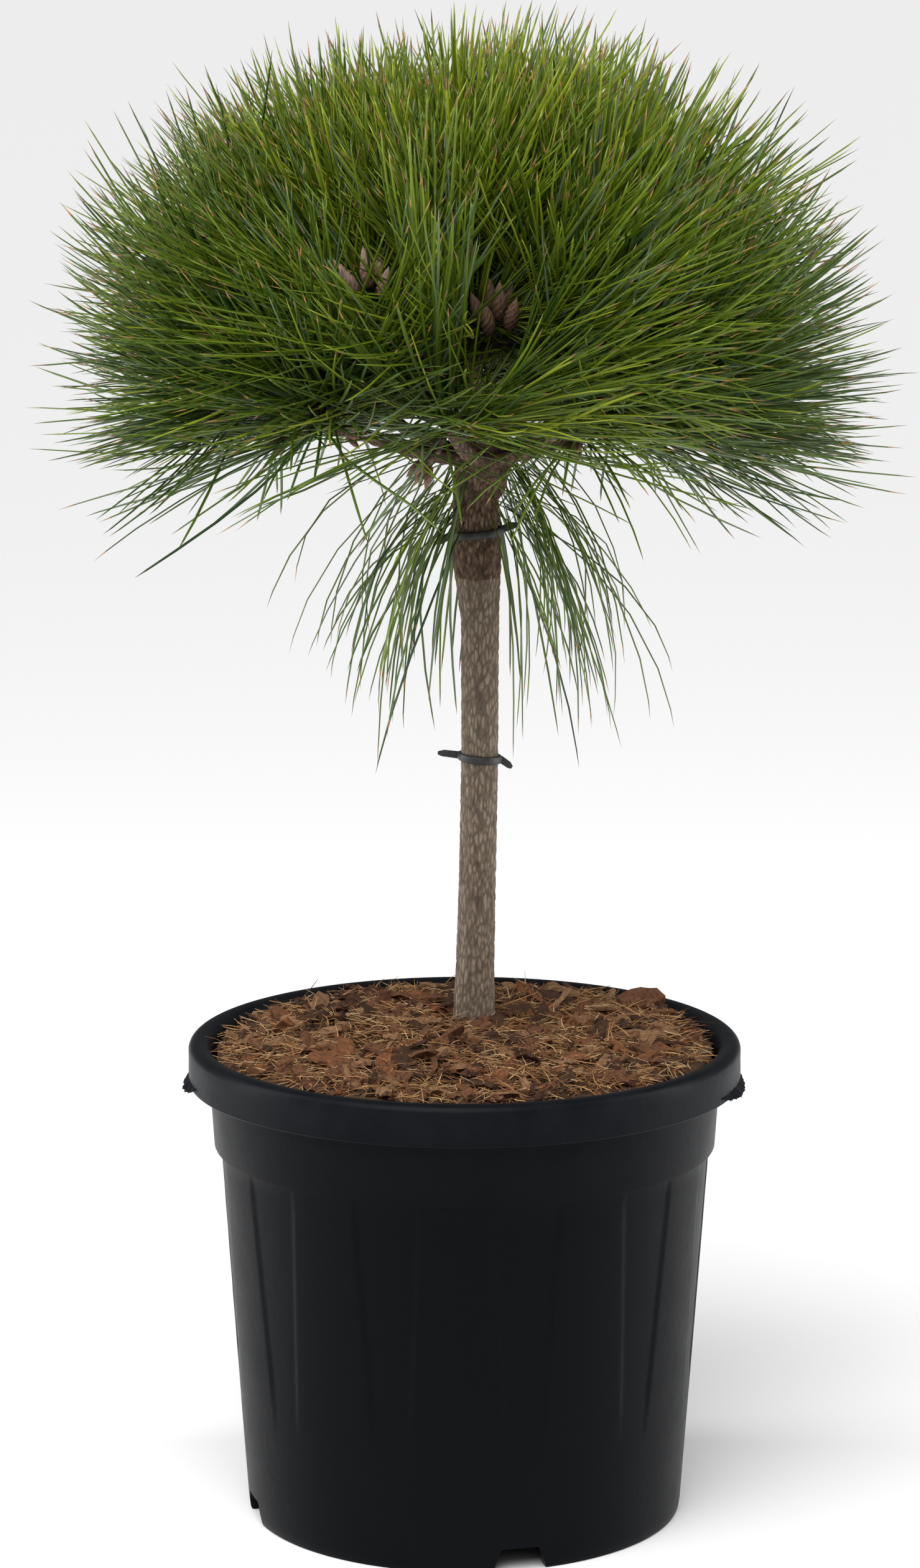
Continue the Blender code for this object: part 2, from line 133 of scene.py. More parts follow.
# Coir fibres
FIBRE_EDGE_GAP = 0.0040
FIBRE_LENGTH_SHAPE = 3.0
FIBRE_LENGTH_SCALE = 0.0055
FIBRE_LENGTHS = (0.005, 0.034)
FIBRE_RISE = (0.10, 0.26)
FIBRE_BEND = 0.9
FIBRE_SAG = 0.35
FIBRE_LIFT = (0.0002, 0.0045)
FIBRE_THICKNESS = (0.6, 1.7)
FIBRE_PROFILE = (0.45, 0.9, 1.0, 0.9, 0.4)
FIBRE_SHARES = (0.34, 0.34, 0.16, 0.16)

# Trunk stations: height, sideways place and diameter
TRUNK_STATIONS = (
    (0.2453, 0.0047, 0.0262),
    (0.2560, 0.0047, 0.0250),
    (0.2680, 0.0050, 0.0232),
    (0.3000, 0.0057, 0.0208),
    (0.3560, 0.0071, 0.0199),
    (0.4240, 0.0082, 0.0198),
    (0.4920, 0.0082, 0.0204),
    (0.5120, 0.0072, 0.0238),
    (0.5290, 0.0063, 0.0266),
    (0.5450, 0.0058, 0.0250),
    (0.5590, 0.0058, 0.0241),
    (0.5700, 0.0085, 0.0290),
    (0.5800, 0.0103, 0.0310),
    (0.5885, 0.0106, 0.0230),
    (0.5925, 0.0106, 0.0120),
)
GRAFT_Z = 0.5150
GRAFT_FADE = 0.02
# Lumps of the graft: size and height
GRAFT_LUMPS = ((0.0060, 0.0012), (0.0022, 0.0005))
TRUNK_FOOT_Y = 0.0150
TRUNK_FORK_Y = 0.0040
TRUNK_SIDES = 128
TRUNK_RINGS = 430

# Bark tones: crack, plate and lit flake, then the scale of the mottling
BARKS = {
    "trunk_bark": ((0.085, 0.062, 0.045), (0.175, 0.134, 0.098), (0.305, 0.250, 0.192), 300.0),
    "graft_bark": ((0.036, 0.022, 0.014), (0.125, 0.078, 0.050), (0.240, 0.165, 0.112), 340.0),
    "bough_bark": ((0.022, 0.013, 0.009), (0.125, 0.078, 0.050), (0.270, 0.190, 0.130), 380.0),
    "shoot_bark": ((0.018, 0.011, 0.008), (0.105, 0.066, 0.044), (0.250, 0.195, 0.150), 520.0),
    "bud_scales": ((0.030, 0.014, 0.009), (0.125, 0.062, 0.038), (0.420, 0.280, 0.190), 900.0),
    "bud_scales_pale": ((0.060, 0.030, 0.020), (0.260, 0.145, 0.098), (0.720, 0.540, 0.420), 900.0),
}

# Crown
HEART = np.array((-0.0020, 0.0, 0.6000))
FORK = np.array((0.0103, TRUNK_FORK_Y, 0.5790))
# Reach of the crown from its heart, by elevation in degrees
CROWN_OUTLINE = (
    (-30.0, 0.1900), (-12.0, 0.2300), (5.0, 0.2400), (38.0, 0.2520), (64.0, 0.2260), (90.0, 0.2180),
)
LOWER_AZIMUTHS = (-4.0, 41.0, 86.0, 131.0, 176.0, -139.0, -94.0, -49.0)
LOWER_ELEVATION = 5.0
UPPER_AZIMUTHS = (-84.0, -28.0, 38.0, 100.0, 165.0, -132.0)
UPPER_ELEVATION = 43.0
LOWER_START = 0.0780
UPPER_START = 0.0720
TOP_START = 0.0800
BOUGH_SEAT = 0.0140
BOUGH_BEND = 0.45
BOUGH_SAG = 0.010
# Diameters at the fork and at the seat
LOWER_BOUGH_DIAMETERS = (0.0090, 0.0060)
UPPER_BOUGH_DIAMETERS = (0.0080, 0.0056)
LEADER_DIAMETERS = (0.0092, 0.0062)
BOUGH_STEPS = 46
BOUGH_SIDES = 22
SHOOT_STEPS = 25
SHOOT_SIDES = 12
# Bark relief: plate width, plate height, crack depth and lump size
BOUGH_RELIEF = (0.0022, 0.0026, 0.0009, 0.0003)
SHOOT_RELIEF = (0.0016, 0.0018, 0.0009, 0.0002)
SHOOT_ROOT_RADIUS = 0.0030
SHOOT_TAPER = 0.0007
SHOOT_LINE_STEPS = 9
SHOOT_WOBBLE = 0.0011
SHOOT_BEND = 0.45
SHOOT_REACH = (0.36, 0.55)
LOWEST_SHOOT = math.radians(-7.0)

# Buds
BUD_SHOOTS = (np.array((0.0170, -0.0780, 0.6640)), np.array((-0.0503, -0.0720, 0.6800)))
BUD_RING_COUNT = 11
BUD_SIDES = 12
BUD_COUNT = 4
BUD_LENGTHS = (0.0090, 0.0130)
BUD_SPREAD = (0.22, 0.42)
BUD_SHIFT = 0.0078
SMALL_BUD_SHIFT = 0.35
BUD_SINK = 0.002
SHOWN_BUD_COUNT = 6
SHOWN_BUD_LENGTHS = (0.0180, 0.0225)
SHOWN_BUD_STAGGER = 0.007
# Openings in front of the buds: bud cluster, rise above its tip and radius
BUD_OPENINGS = ((0, 0.011, 0.0150), (0, -0.008, 0.0095), (0, -0.024, 0.0095), (1, 0.011, 0.0150))
OPENING_STRAYS = 0.05

# Needles
GOLDEN_TURN = 2.39996
UPWARD = np.array((0.0, 0.0, 1.0))
NEEDLE_RINGS = np.array((0.0, 0.14, 0.34, 0.56, 0.78, 0.93))
NEEDLE_PROFILE = np.array((0.62, 0.92, 1.0, 1.0, 0.92, 0.66))
NEEDLE_SIDES = 3
NEEDLE_FLATNESS = 0.55
BARE_SHARE = 0.20
CROWDING = 0.72
SPREAD_AT_FOOT = 62.0
SPREAD_LOSS = 46.0
SPREAD_SCATTER = 7.0
DROOPING_SHARE = 0.28
LEAST_DROOP = 0.22
CURLED_SHARE = 0.13
STRONG_CURL = 0.42
SLIGHT_CURL = 0.07
PAIRS_IN_SPRAY = 8
SHORTEST_NEEDLE = 0.045
NEEDLE_SEAT = 0.0022
# Pull of the light on a high shoot's needles, at their foot and at their tip
FOOT_LIFT = 0.24
TIP_LIFT = 0.50
# How much of a needle's last direction comes from its first one and from its shoot
FIRST_WEIGHT = 0.80
SHOOT_WEIGHT = 0.34
FIRST_SCATTER = 0.055
LAST_SCATTER = 0.085
PAIR_LENGTHS = (0.86, 1.06)
SINGLE_LENGTHS = (0.96, 1.03)
ODD_SHARE = 0.16
# Chances that a tip is orange, and that it is orange or brown
TIP_CHANCES = (0.12, 0.36)
SHOOT_LIMITS = (0.90, 1.0)
NEEDLE_LIMITS = (0.83, 1.06)

# Underside of the crown: how far it falls below the heart, with strays under it and a lift over the fork
FLOOR_DROP = 0.010
FLOOR_SLOPE = 0.07
STRAY_DROP = 0.090
STRAY_REACH = 0.2
FRONT_LIFT = 0.15
FORK_TURN = math.radians(-88.0)
FORK_LIFT = 0.014
FORK_STRAY_LIFT = 0.010

# Hanging needles
HANGING_AZIMUTHS = (-158.0, -92.0, -24.0, 44.0, 118.0)
HANGING_COUNT = 26
HANGING_SCATTER = 26.0
HANGING_FRONT_GAP = 0.50
HANGING_HEIGHTS = (0.548, 0.590)
HANGING_FOOT = (0.009, 0.030)
HANGING_RISE = (-1.80, -0.10)
HANGING_DOWN = (1.3, 3.2)
HANGING_OUT = (0.00, 0.46)
HANGING_LENGTH = (0.72, 1.14)
HANGING_WIDTH = 0.9
HANGING_LAST_SCATTER = 0.16
HANGING_CURL = 0.12
HANGING_TIP_CHANCES = (0.3, 0.6)

# Camera and lights
CAMERA_PLACE = np.array((-0.0025, -2.7180, 0.9290))
CAMERA_PITCH = math.radians(10.94)
CAMERA_LENS = 118.07
SUN_TURN = (math.radians(34.0), math.radians(-14.0), 0.0)
SUN_ANGLE = math.radians(50.0)
# Softboxes: name, place, target, width, height and the setting that holds the power
SOFTBOXES = (
    ("front_softbox", (0.3, -3.4, 2.2), (0.0, 0.0, 0.55), 1.6, 1.6, "front"),
    ("left_strip", (-1.9, 0.1, 0.8), (0.0, 0.0, 0.4), 0.6, 2.0, "side"),
    ("right_strip", (1.9, 0.1, 0.8), (0.0, 0.0, 0.4), 0.6, 2.0, "side"),
)
FLOOR_SIZE = 80.0

# Ties
TIE_HEIGHT = 0.0043
TIE_THICKNESS = 0.0018
UPPER_TIE_Z = 0.5395
LOWER_TIE_Z = 0.4165
TIE_GAP = 0.0004
TIE_TAIL_HALF = 0.00075
TIE_STEPS = 72
# Straps: piece, node, height, lean, and the length, pitch and azimuth of each free end
TIES = (
    ("strap_upper", "upper_tie", UPPER_TIE_Z, -5.0, ((0.0090, 28.0, 190.0), (0.0100, -16.0, 12.0))),
    ("strap_lower", "lower_tie", LOWER_TIE_Z, 5.0, ((0.0120, -5.0, 172.0), (0.0085, 36.0, 8.0))),
)

# Needle tones: painted sunlight down to painted shade, then a grey tone and the orange and brown tip tones
NEEDLE_COLOURS = (
    ("needle_sunlit", (0.310, 0.370, 0.020)),
    ("needle_bright", (0.185, 0.262, 0.014)),
    ("needle_fresh", (0.122, 0.186, 0.010)),
    ("needle_mid", (0.076, 0.132, 0.008)),
    ("needle_deep", (0.043, 0.088, 0.008)),
    ("needle_shade", (0.022, 0.054, 0.008)),
    ("needle_grey", (0.135, 0.200, 0.090)),
    ("needle_tip_orange", (0.340, 0.170, 0.035)),
    ("needle_tip_brown", (0.170, 0.085, 0.028)),
)
SHADE_TONE = 5
GREY_TONE = 6
TIP_ORANGE = 7
TIP_BROWN = 8
GREY_SHARE = 0.07
# Painted light and shade on the sprays: brightness of a spray at the heart, and how it changes with height,
# depth and distance from the middle
SPRAY_LIGHT = 0.50
LIGHT_HEIGHT = 0.045
LIGHT_BY_HEIGHT = 3.4
LIGHT_BY_DEPTH = 0.9
LIGHT_BY_SIDE = 1.6
LIGHT_SCATTER = 0.21

CHIP_COLOURS = (
    ("chip_red_brown", (0.165, 0.072, 0.034), (0.058, 0.024, 0.013)),
    ("chip_tan", (0.275, 0.152, 0.076), (0.115, 0.057, 0.029)),
    ("chip_dark", (0.072, 0.033, 0.018), (0.026, 0.013, 0.008)),
    ("chip_rust", (0.215, 0.086, 0.035), (0.085, 0.032, 0.014)),
)
FIBRE_COLOURS = (
    ("coir_gold", (0.420, 0.230, 0.090)),
    ("coir_brown", (0.220, 0.105, 0.042)),
    ("coir_pale", (0.560, 0.380, 0.200)),
    ("coir_dark", (0.090, 0.042, 0.020)),
)


class ContainerSettings(bpy.types.PropertyGroup):
    """Look of the moulded container."""

    colour: bpy.props.FloatVectorProperty(
        name="Plastic", description="Colour of the moulded plastic", subtype="COLOR", size=3,
        min=0.0, max=1.0, default=(0.0020, 0.0026, 0.0037),
    )
    steps: bpy.props.IntProperty(
        name="Steps", description="Number of steps that the wall is turned in", default=528, min=88, max=704,
    )


class MulchSettings(bpy.types.PropertyGroup):
    """Amount and size of the bark and coir in the mulch."""

    chips: bpy.props.IntProperty(name="Chips", description="Number of bark chips", default=1050, min=0)
    fibres: bpy.props.IntProperty(name="Fibres", description="Number of coir fibres", default=6600, min=0)
    fibre_width: bpy.props.FloatProperty(
        name="Fibre width", description="Thickness of one coir fibre", default=0.00050, unit="LENGTH",
    )


class BarkSettings(bpy.types.PropertyGroup):
    """Relief of the bark."""

    plate_width: bpy.props.FloatProperty(
        name="Plate width", description="Width of one bark plate", default=0.0019, unit="LENGTH",
    )
    plate_height: bpy.props.FloatProperty(
        name="Plate height", description="Height of one bark plate", default=0.0068, unit="LENGTH",
    )
    depth: bpy.props.FloatProperty(
        name="Depth", description="Depth of the cracks between plates", default=0.00055, unit="LENGTH",
    )


class CrownSettings(bpy.types.PropertyGroup):
    """Growth of the shoots and needles."""

    seed: bpy.props.IntProperty(name="Seed", description="Seed of the branching rule", default=7)
    shoots: bpy.props.IntProperty(
        name="Shoots", description="Number of shoots in the crown", default=72, min=15,
    )
    pairs: bpy.props.IntProperty(name="Pairs", description="Pairs of needles on one shoot", default=94, min=1)
    needle_length: bpy.props.FloatProperty(
        name="Needle length", description="Length of a grown needle", default=0.1420, unit="LENGTH",
    )
    needle_width: bpy.props.FloatProperty(
        name="Needle width", description="Width of a grown needle", default=0.00155, unit="LENGTH",
    )


class StudioSettings(bpy.types.PropertyGroup):
    """Strength of the studio lights."""

    top: bpy.props.FloatProperty(name="Top light", description="Strength of the overhead light", default=3.0)
    front: bpy.props.FloatProperty(
        name="Front light", description="Power of the front softbox", default=8.0, unit="POWER",
    )
    side: bpy.props.FloatProperty(
        name="Side lights", description="Power of each side strip", default=28.0, unit="POWER",
    )
    sky: bpy.props.FloatProperty(name="Surround", description="Strength of the surround", default=0.20)


def deselect():
    if bpy.context.mode != "OBJECT":
        bpy.ops.object.mode_set(mode="OBJECT")
    bpy.ops.object.select_all(action="DESELECT")


def make_active(obj):
    deselect()
    obj.select_set(True)
    bpy.context.view_layer.objects.active = obj


def dress(piece, finish):
    """Give a piece one finish and no other."""
    piece.data.materials.clear()
    piece.data.materials.append(finish)


def face_outward(piece):
    """Turn every face of a closed piece outwards."""
    make_active(piece)
    bpy.ops.object.mode_set(mode="EDIT")
    bpy.ops.mesh.select_all(action="SELECT")
    bpy.ops.mesh.normals_make_consistent(inside=False)
    bpy.ops.object.mode_set(mode="OBJECT")


def seat(obj, slot, *nodes):
    """Let a piece ride on the plant and stand for its nodes; slot is not used."""
    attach(obj, BODY)
    if nodes:
        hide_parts(*nodes)


def read_table(value, pairs):
    keys = [pair[0] for pair in pairs]
    values = [pair[1] for pair in pairs]
    return np.interp(value, keys, values)


def unit(vectors):
    vectors = np.asarray(vectors, float)
    return vectors / np.maximum(np.linalg.norm(vectors, axis=-1, keepdims=True), 1e-12)


def direction(azimuth, elevation):
    turn = math.radians(azimuth)
    rise = math.radians(elevation)
    return np.array((math.cos(turn) * math.cos(rise), math.sin(turn) * math.cos(rise), math.sin(rise)))


def mesh_piece(name, points, corners, counts, materials, slots=None, smooth=True, relief=None):
    """Object from arrays: points, every face's corners in a row, and the number of corners of each face."""
    mesh = bpy.data.meshes.new(name)
    mesh.vertices.add(len(points))
    mesh.vertices.foreach_set("co", np.asarray(points, np.float32).ravel())
    mesh.loops.add(len(corners))
    mesh.loops.foreach_set("vertex_index", np.asarray(corners, np.int32))
    starts = np.concatenate(([0], np.cumsum(counts)[:-1])).astype(np.int32)
    mesh.polygons.add(len(counts))
    mesh.polygons.foreach_set("loop_start", starts)
    if slots is not None:
        mesh.polygons.foreach_set("material_index", np.asarray(slots, np.int32))
    mesh.polygons.foreach_set("use_smooth", np.full(len(counts), smooth))
    mesh.update(calc_edges=True)
    if relief is not None:
        values = mesh.attributes.new("relief", "FLOAT", "POINT").data
        values.foreach_set("value", np.asarray(relief, np.float32))
    for material in materials:
        mesh.materials.append(material)
    piece = bpy.data.objects.new(name, mesh)
    bpy.context.scene.collection.objects.link(piece)
    return piece


def ring_faces(rings, sides):
    """Quads between each ring of points and the next."""
    low = (np.arange(rings - 1) * sides)[:, None]
    side = np.arange(sides)[None, :]
    after = (side + 1) % sides
    high = low + sides
    return np.stack((low + side, low + after, high + after, high + side), axis=-1).reshape(-1, 4)


def cap_faces(rings, sides):
    """Triangles that close rings of points with a foot point and a head point, which come last."""
    side = np.arange(sides)
    after = (side + 1) % sides
    last = (rings - 1) * sides
    foot = np.stack((np.full(sides, rings * sides), after, side), axis=-1)
    head = np.stack((np.full(sides, rings * sides + 1), last + side, last + after), axis=-1)
    return np.concatenate((foot, head))


def face_arrays(quads, tris, copies=1, size=0):
    """Corners and corner counts of copies of a template of so many points, quads before triangles."""
    start = (np.arange(copies) * size)[:, None]
    corners = np.concatenate([(faces.ravel()[None, :] + start).ravel() for faces in (quads, tris)])
    counts = np.concatenate((np.full(copies * len(quads), 4), np.full(copies * len(tris), 3)))
    return corners, counts


def tube_arrays(line, radii, sides):
    """Closed round tube through a line of points, as points, corners and corner counts."""
    line = np.asarray(line, float)
    count = len(line)
    ahead = unit(np.gradient(line, axis=0))
    reference = np.array((0.31, 0.95, 0.05)) if abs(ahead[0][1]) < 0.9 else np.array((1.0, 0.0, 0.0))
    side = unit(np.cross(ahead, reference))
    other = np.cross(ahead, side)
    turns = (np.arange(sides) * math.tau / sides)[None, :, None]
    ring = np.cos(turns) * side[:, None, :] + np.sin(turns) * other[:, None, :]
    points = line[:, None, :] + ring * np.asarray(radii, float)[:, None, None]
    points = np.concatenate((points.reshape(-1, 3), line[:1], line[-1:]))
    return (points, *face_arrays(ring_faces(count, sides), cap_faces(count, sides)))


def join_arrays(parts):
    """Join (points, corners, counts) triples into one."""
    offset = 0
    points, corners, counts = [], [], []
    for part_points, part_corners, part_counts in parts:
        points.append(part_points)
        corners.append(part_corners + offset)
        counts.append(part_counts)
        offset += len(part_points)
    return np.concatenate(points), np.concatenate(corners), np.concatenate(counts)


def turned(name, outline, steps):
    """Spin an outline of (radius, height) points round Z, from one end of it to the other."""
    deselect()
    first_radius, first_height = outline[0]
    bpy.ops.mesh.primitive_plane_add(size=0.001, location=(first_radius, 0.0, first_height))
    piece = bpy.context.object
    piece.name = name
    bpy.ops.object.mode_set(mode="EDIT")
    bpy.ops.mesh.select_all(action="SELECT")
    bpy.ops.mesh.merge(type="CENTER")
    for (radius, height), (next_radius, next_height) in zip(outline, outline[1:]):
        step = (next_radius - radius, 0.0, next_height - height)
        bpy.ops.mesh.extrude_vertices_move(TRANSFORM_OT_translate={"value": step})
    bpy.ops.mesh.select_all(action="SELECT")
    bpy.ops.mesh.spin(steps=steps, angle=math.tau, center=(0.0, 0.0, 0.0), axis=(0.0, 0.0, 1.0))
    bpy.ops.mesh.select_all(action="SELECT")
    bpy.ops.mesh.remove_doubles(threshold=0.00001)
    bpy.ops.mesh.normals_make_consistent(inside=False)
    bpy.ops.object.mode_set(mode="OBJECT")
    bpy.ops.object.transform_apply(location=True, rotation=True, scale=True)
    return piece


def apply_modifier(piece, kind, **settings):
    modifier = piece.modifiers.new(kind.lower(), kind)
    for key, value in settings.items():
        setattr(modifier, key, value)
    make_active(piece)
    bpy.ops.object.modifier_apply(modifier=modifier.name)


def new_group(name, inputs, outputs):
    """Empty shader group with float inputs (name, default) and float outputs."""
    group = bpy.data.node_groups.new(name, "ShaderNodeTree")
    for label, default in inputs:
        socket = group.interface.new_socket(label, in_out="INPUT", socket_type="NodeSocketFloat")
        socket.default_value = default
    for label in outputs:
        group.interface.new_socket(label, in_out="OUTPUT", socket_type="NodeSocketFloat")
    return group, add_node(group, "NodeGroupInput"), add_node(group, "NodeGroupOutput")


def add_node(tree, kind, links=None, **settings):
    """Add a node, set its fields and sockets, and link its inputs from other nodes' outputs."""
    node = tree.nodes.new(kind)
    for key, value in settings.items():
        if hasattr(node, key):
            setattr(node, key, value)
        else:
            node.inputs[key.replace("_", " ")].default_value = value
    for socket, source in (links or {}).items():
        tree.links.new(source, node.inputs[socket])
    return node


def speckle_group():
    """Fine mottling in object space: a value for colour and roughness, and a height for bump."""
    found = bpy.data.node_groups.get("speckle")
    if found:
        return found
    group, inputs, outputs = new_group("speckle", (("Scale", 200.0), ("Stretch", 1.0)), ("Value", "Height"))
    place = add_node(group, "ShaderNodeTexCoord")
    stretch = add_node(group, "ShaderNodeCombineXYZ", {2: inputs.outputs["Stretch"]}, X=1.0, Y=1.0)
    scaled = add_node(group, "ShaderNodeVectorMath", {0: place.outputs["Object"], 1: stretch.outputs[0]},
                      operation="MULTIPLY")
    coarse = add_node(group, "ShaderNodeTexNoise",
                      {"Vector": scaled.outputs[0], "Scale": inputs.outputs["Scale"]},
                      Detail=5.0, Roughness=0.62)
    finer = add_node(group, "ShaderNodeMath", {0: inputs.outputs["Scale"]}, operation="MULTIPLY")
    finer.inputs[1].default_value = 6.0
    fine = add_node(group, "ShaderNodeTexNoise",
                    {"Vector": scaled.outputs[0], "Scale": finer.outputs[0]}, Detail=3.0)
    group.links.new(coarse.outputs["Fac"], outputs.inputs["Value"])
    group.links.new(fine.outputs["Fac"], outputs.inputs["Height"])
    return group


def ramp(tree, source, stops):
    """Colour ramp fed by a value, with stops of (place, colour)."""
    node = add_node(tree, "ShaderNodeValToRGB", {0: source})
    elements = node.color_ramp.elements
    while len(elements) < len(stops):
        elements.new(0.5)
    for element, (place, colour) in zip(elements, stops):
        element.position = place
        element.color = (*colour, 1.0)
    return node


def new_finish(name, roughness, specular=0.5):
    """Empty Principled finish, returned with its tree and shader."""
    finish = bpy.data.materials.new(name)
    finish.use_nodes = True
    tree = finish.node_tree
    shader = tree.nodes["Principled BSDF"]
    shader.inputs["Roughness"].default_value = roughness
    shader.inputs["Specular IOR Level"].default_value = specular
    return finish, tree, shader


def bump(tree, shader, height, distance, strength=1.0):
    node = add_node(tree, "ShaderNodeBump", {"Height": height}, Strength=strength, Distance=distance)
    tree.links.new(node.outputs["Normal"], shader.inputs["Normal"])


def speckled_finish(name, stops, roughness, scale, stretch=1.0, depth=0.0002, specular=0.4):
    """Finish whose colour runs over the stops by a fine mottling, with a little bump."""
    finish, tree, shader = new_finish(name, roughness, specular)
    speckle = add_node(tree, "ShaderNodeGroup", node_tree=speckle_group(), Scale=scale, Stretch=stretch)
    colour = ramp(tree, speckle.outputs["Value"], stops)
    tree.links.new(colour.outputs["Color"], shader.inputs["Base Color"])
    bump(tree, shader, speckle.outputs["Height"], depth)
    return finish


def plain_finish(name, colour, roughness, specular=0.5):
    finish, _, shader = new_finish(name, roughness, specular)
    shader.inputs["Base Color"].default_value = (*colour, 1.0)
    return finish


def plastic_finish(colour):
    """Matt black moulded plastic, scuffed in fine spots, with a painted sheen that makes the spots lighter
    towards the rim.
    """
    finish, tree, shader = new_finish("moulded_plastic", 0.40, 0.06)
    speckle = add_node(tree, "ShaderNodeGroup", node_tree=speckle_group(), Scale=46.0, Stretch=1.0)
    place = add_node(tree, "ShaderNodeTexCoord")
    height = add_node(tree, "ShaderNodeSeparateXYZ", {0: place.outputs["Object"]})
    # Painted highlight: the scuffed spots are painted lighter towards the rim
    painted_rim_sheen = add_node(tree, "ShaderNodeMapRange", {"Value": height.outputs["Z"]})
    painted_rim_sheen.inputs["From Min"].default_value = COLLAR_FOOT_Z
    painted_rim_sheen.inputs["From Max"].default_value = POT_HEIGHT
    painted_rim_sheen.inputs["To Min"].default_value = 0.12
    painted_rim_sheen.inputs["To Max"].default_value = 0.75
    scuffs_and_sheen = add_node(tree, "ShaderNodeMath", {0: speckle.outputs["Value"], 1: painted_rim_sheen.outputs["Result"]},
                    operation="MULTIPLY")
    # Lighter tone of the scuffs and of the painted rim sheen
    scuffed_sheen_colour = tuple(channel * 2.2 + 0.003 for channel in colour)
    tint = ramp(tree, scuffs_and_sheen.outputs[0], ((0.06, tuple(colour)), (0.55, scuffed_sheen_colour)))
    tree.links.new(tint.outputs["Color"], shader.inputs["Base Color"])
    gloss = add_node(tree, "ShaderNodeMapRange", {"Value": speckle.outputs["Value"]})
    gloss.inputs["To Min"].default_value = 0.32
    gloss.inputs["To Max"].default_value = 0.48
    tree.links.new(gloss.outputs["Result"], shader.inputs["Roughness"])
    bump(tree, shader, speckle.outputs["Height"], 0.00012)
    return finish


def bark_finish(name):
    """Bark toned by its relief attribute: dark cracks, brown plates and grey flakes on top."""
    crack, plate, lit, scale = BARKS[name]
    finish, tree, shader = new_finish(name, 0.86, 0.25)
    relief = add_node(tree, "ShaderNodeAttribute", attribute_name="relief")
    speckle = add_node(tree, "ShaderNodeGroup", node_tree=speckle_group(), Scale=scale, Stretch=0.35)
    blend = add_node(tree, "ShaderNodeMath", {0: speckle.outputs["Value"], 1: relief.outputs["Fac"]},
                     operation="ADD")
    halved = add_node(tree, "ShaderNodeMath", {0: blend.outputs[0]}, operation="MULTIPLY")
    halved.inputs[1].default_value = 0.5
    colour = ramp(tree, halved.outputs[0], ((0.22, crack), (0.50, plate), (0.78, lit)))
    tree.links.new(colour.outputs["Color"], shader.inputs["Base Color"])
    bump(tree, shader, speckle.outputs["Height"], 0.0004)
    return finish


def body_radius(height):
    return read_table(height, ((BODY_FOOT_Z, BODY_FOOT_RADIUS), (COLLAR_FOOT_Z, BODY_TOP_RADIUS)))


def arc(centre_radius, centre_height, radius, start, end, count):
    """Points on an arc of an outline, from one angle to another in degrees."""
    turns = np.radians(np.linspace(start, end, count))
    return [(centre_radius + radius * math.cos(t), centre_height + radius * math.sin(t)) for t in turns]


def pot_outline():
    """Container outline from the middle of its floor, up the inside, over the rim and down below."""
    rim_low = POT_HEIGHT - RIM_DROP
    body_heights = np.linspace(COLLAR_FOOT_Z - 0.0012, BODY_FOOT_Z, 27)
    outline = [
        (0.0, CENTRE_LIFT + WALL),
        (CHANNEL_INNER_RADIUS - WALL - CENTRE_SLOPE, CENTRE_LIFT + WALL),
        (CHANNEL_INNER_RADIUS - WALL, CHANNEL_HEIGHT + WALL),
        (float(body_radius(CHANNEL_HEIGHT)) - WALL, CHANNEL_HEIGHT + WALL),
        (BODY_TOP_RADIUS - WALL, COLLAR_FOOT_Z - 0.001),
        (COLLAR_FOOT_RADIUS - WALL, COLLAR_FOOT_Z + 0.002),
        (COLLAR_TOP_RADIUS - WALL, POT_HEIGHT - 0.0090),
        (MOUTH_RADIUS - 0.0012, POT_HEIGHT - 0.0045),
        (MOUTH_RADIUS + 0.0004, POT_HEIGHT - 0.0018),
        (MOUTH_RADIUS + 0.0022, POT_HEIGHT - 0.0006),
        (RIM_RIDGE_RADIUS - 0.0028, POT_HEIGHT - 0.0001),
    ]
    outline += arc(RIM_RIDGE_RADIUS - 0.0012, POT_HEIGHT - 0.0050, 0.0050, 90.0, 8.0, 8)
    outline += [
        (RIM_RADIUS - 0.0001, POT_HEIGHT - 0.0090),
        (RIM_RADIUS, POT_HEIGHT - 0.0150),
        (RIM_RADIUS, rim_low + 0.0006),
        (RIM_RADIUS - 0.0005, rim_low),
        (RIM_RADIUS - RIM_WALL, rim_low),
        (RIM_RADIUS - RIM_WALL - 0.0004, POT_HEIGHT - 0.0070),
        (COLLAR_TOP_RADIUS + 0.0012, POT_HEIGHT - 0.0060),
        (COLLAR_TOP_RADIUS, rim_low),
        (COLLAR_FOOT_RADIUS, COLLAR_FOOT_Z + 0.0010),
        (COLLAR_FOOT_RADIUS - 0.0003, COLLAR_FOOT_Z + 0.0003),
        (COLLAR_FOOT_RADIUS - 0.0010, COLLAR_FOOT_Z),
        (BODY_TOP_RADIUS + 0.0004, COLLAR_FOOT_Z - 0.0002),
    ]
    outline += [(float(body_radius(height)), height) for height in body_heights]
    outline += [
        (BODY_FOOT_RADIUS - 0.0006, 0.0018),
        (BODY_FOOT_RADIUS - 0.0013, 0.0004),
        (BODY_FOOT_RADIUS - 0.0024, 0.0),
        (FOOT_INNER_RADIUS, 0.0),
        (FOOT_INNER_RADIUS + 0.0005, CHANNEL_HEIGHT),
        (CHANNEL_INNER_RADIUS, CHANNEL_HEIGHT),
        (CHANNEL_INNER_RADIUS - CENTRE_SLOPE, CENTRE_LIFT),
        (0.0, CENTRE_LIFT),
    ]
    return outline


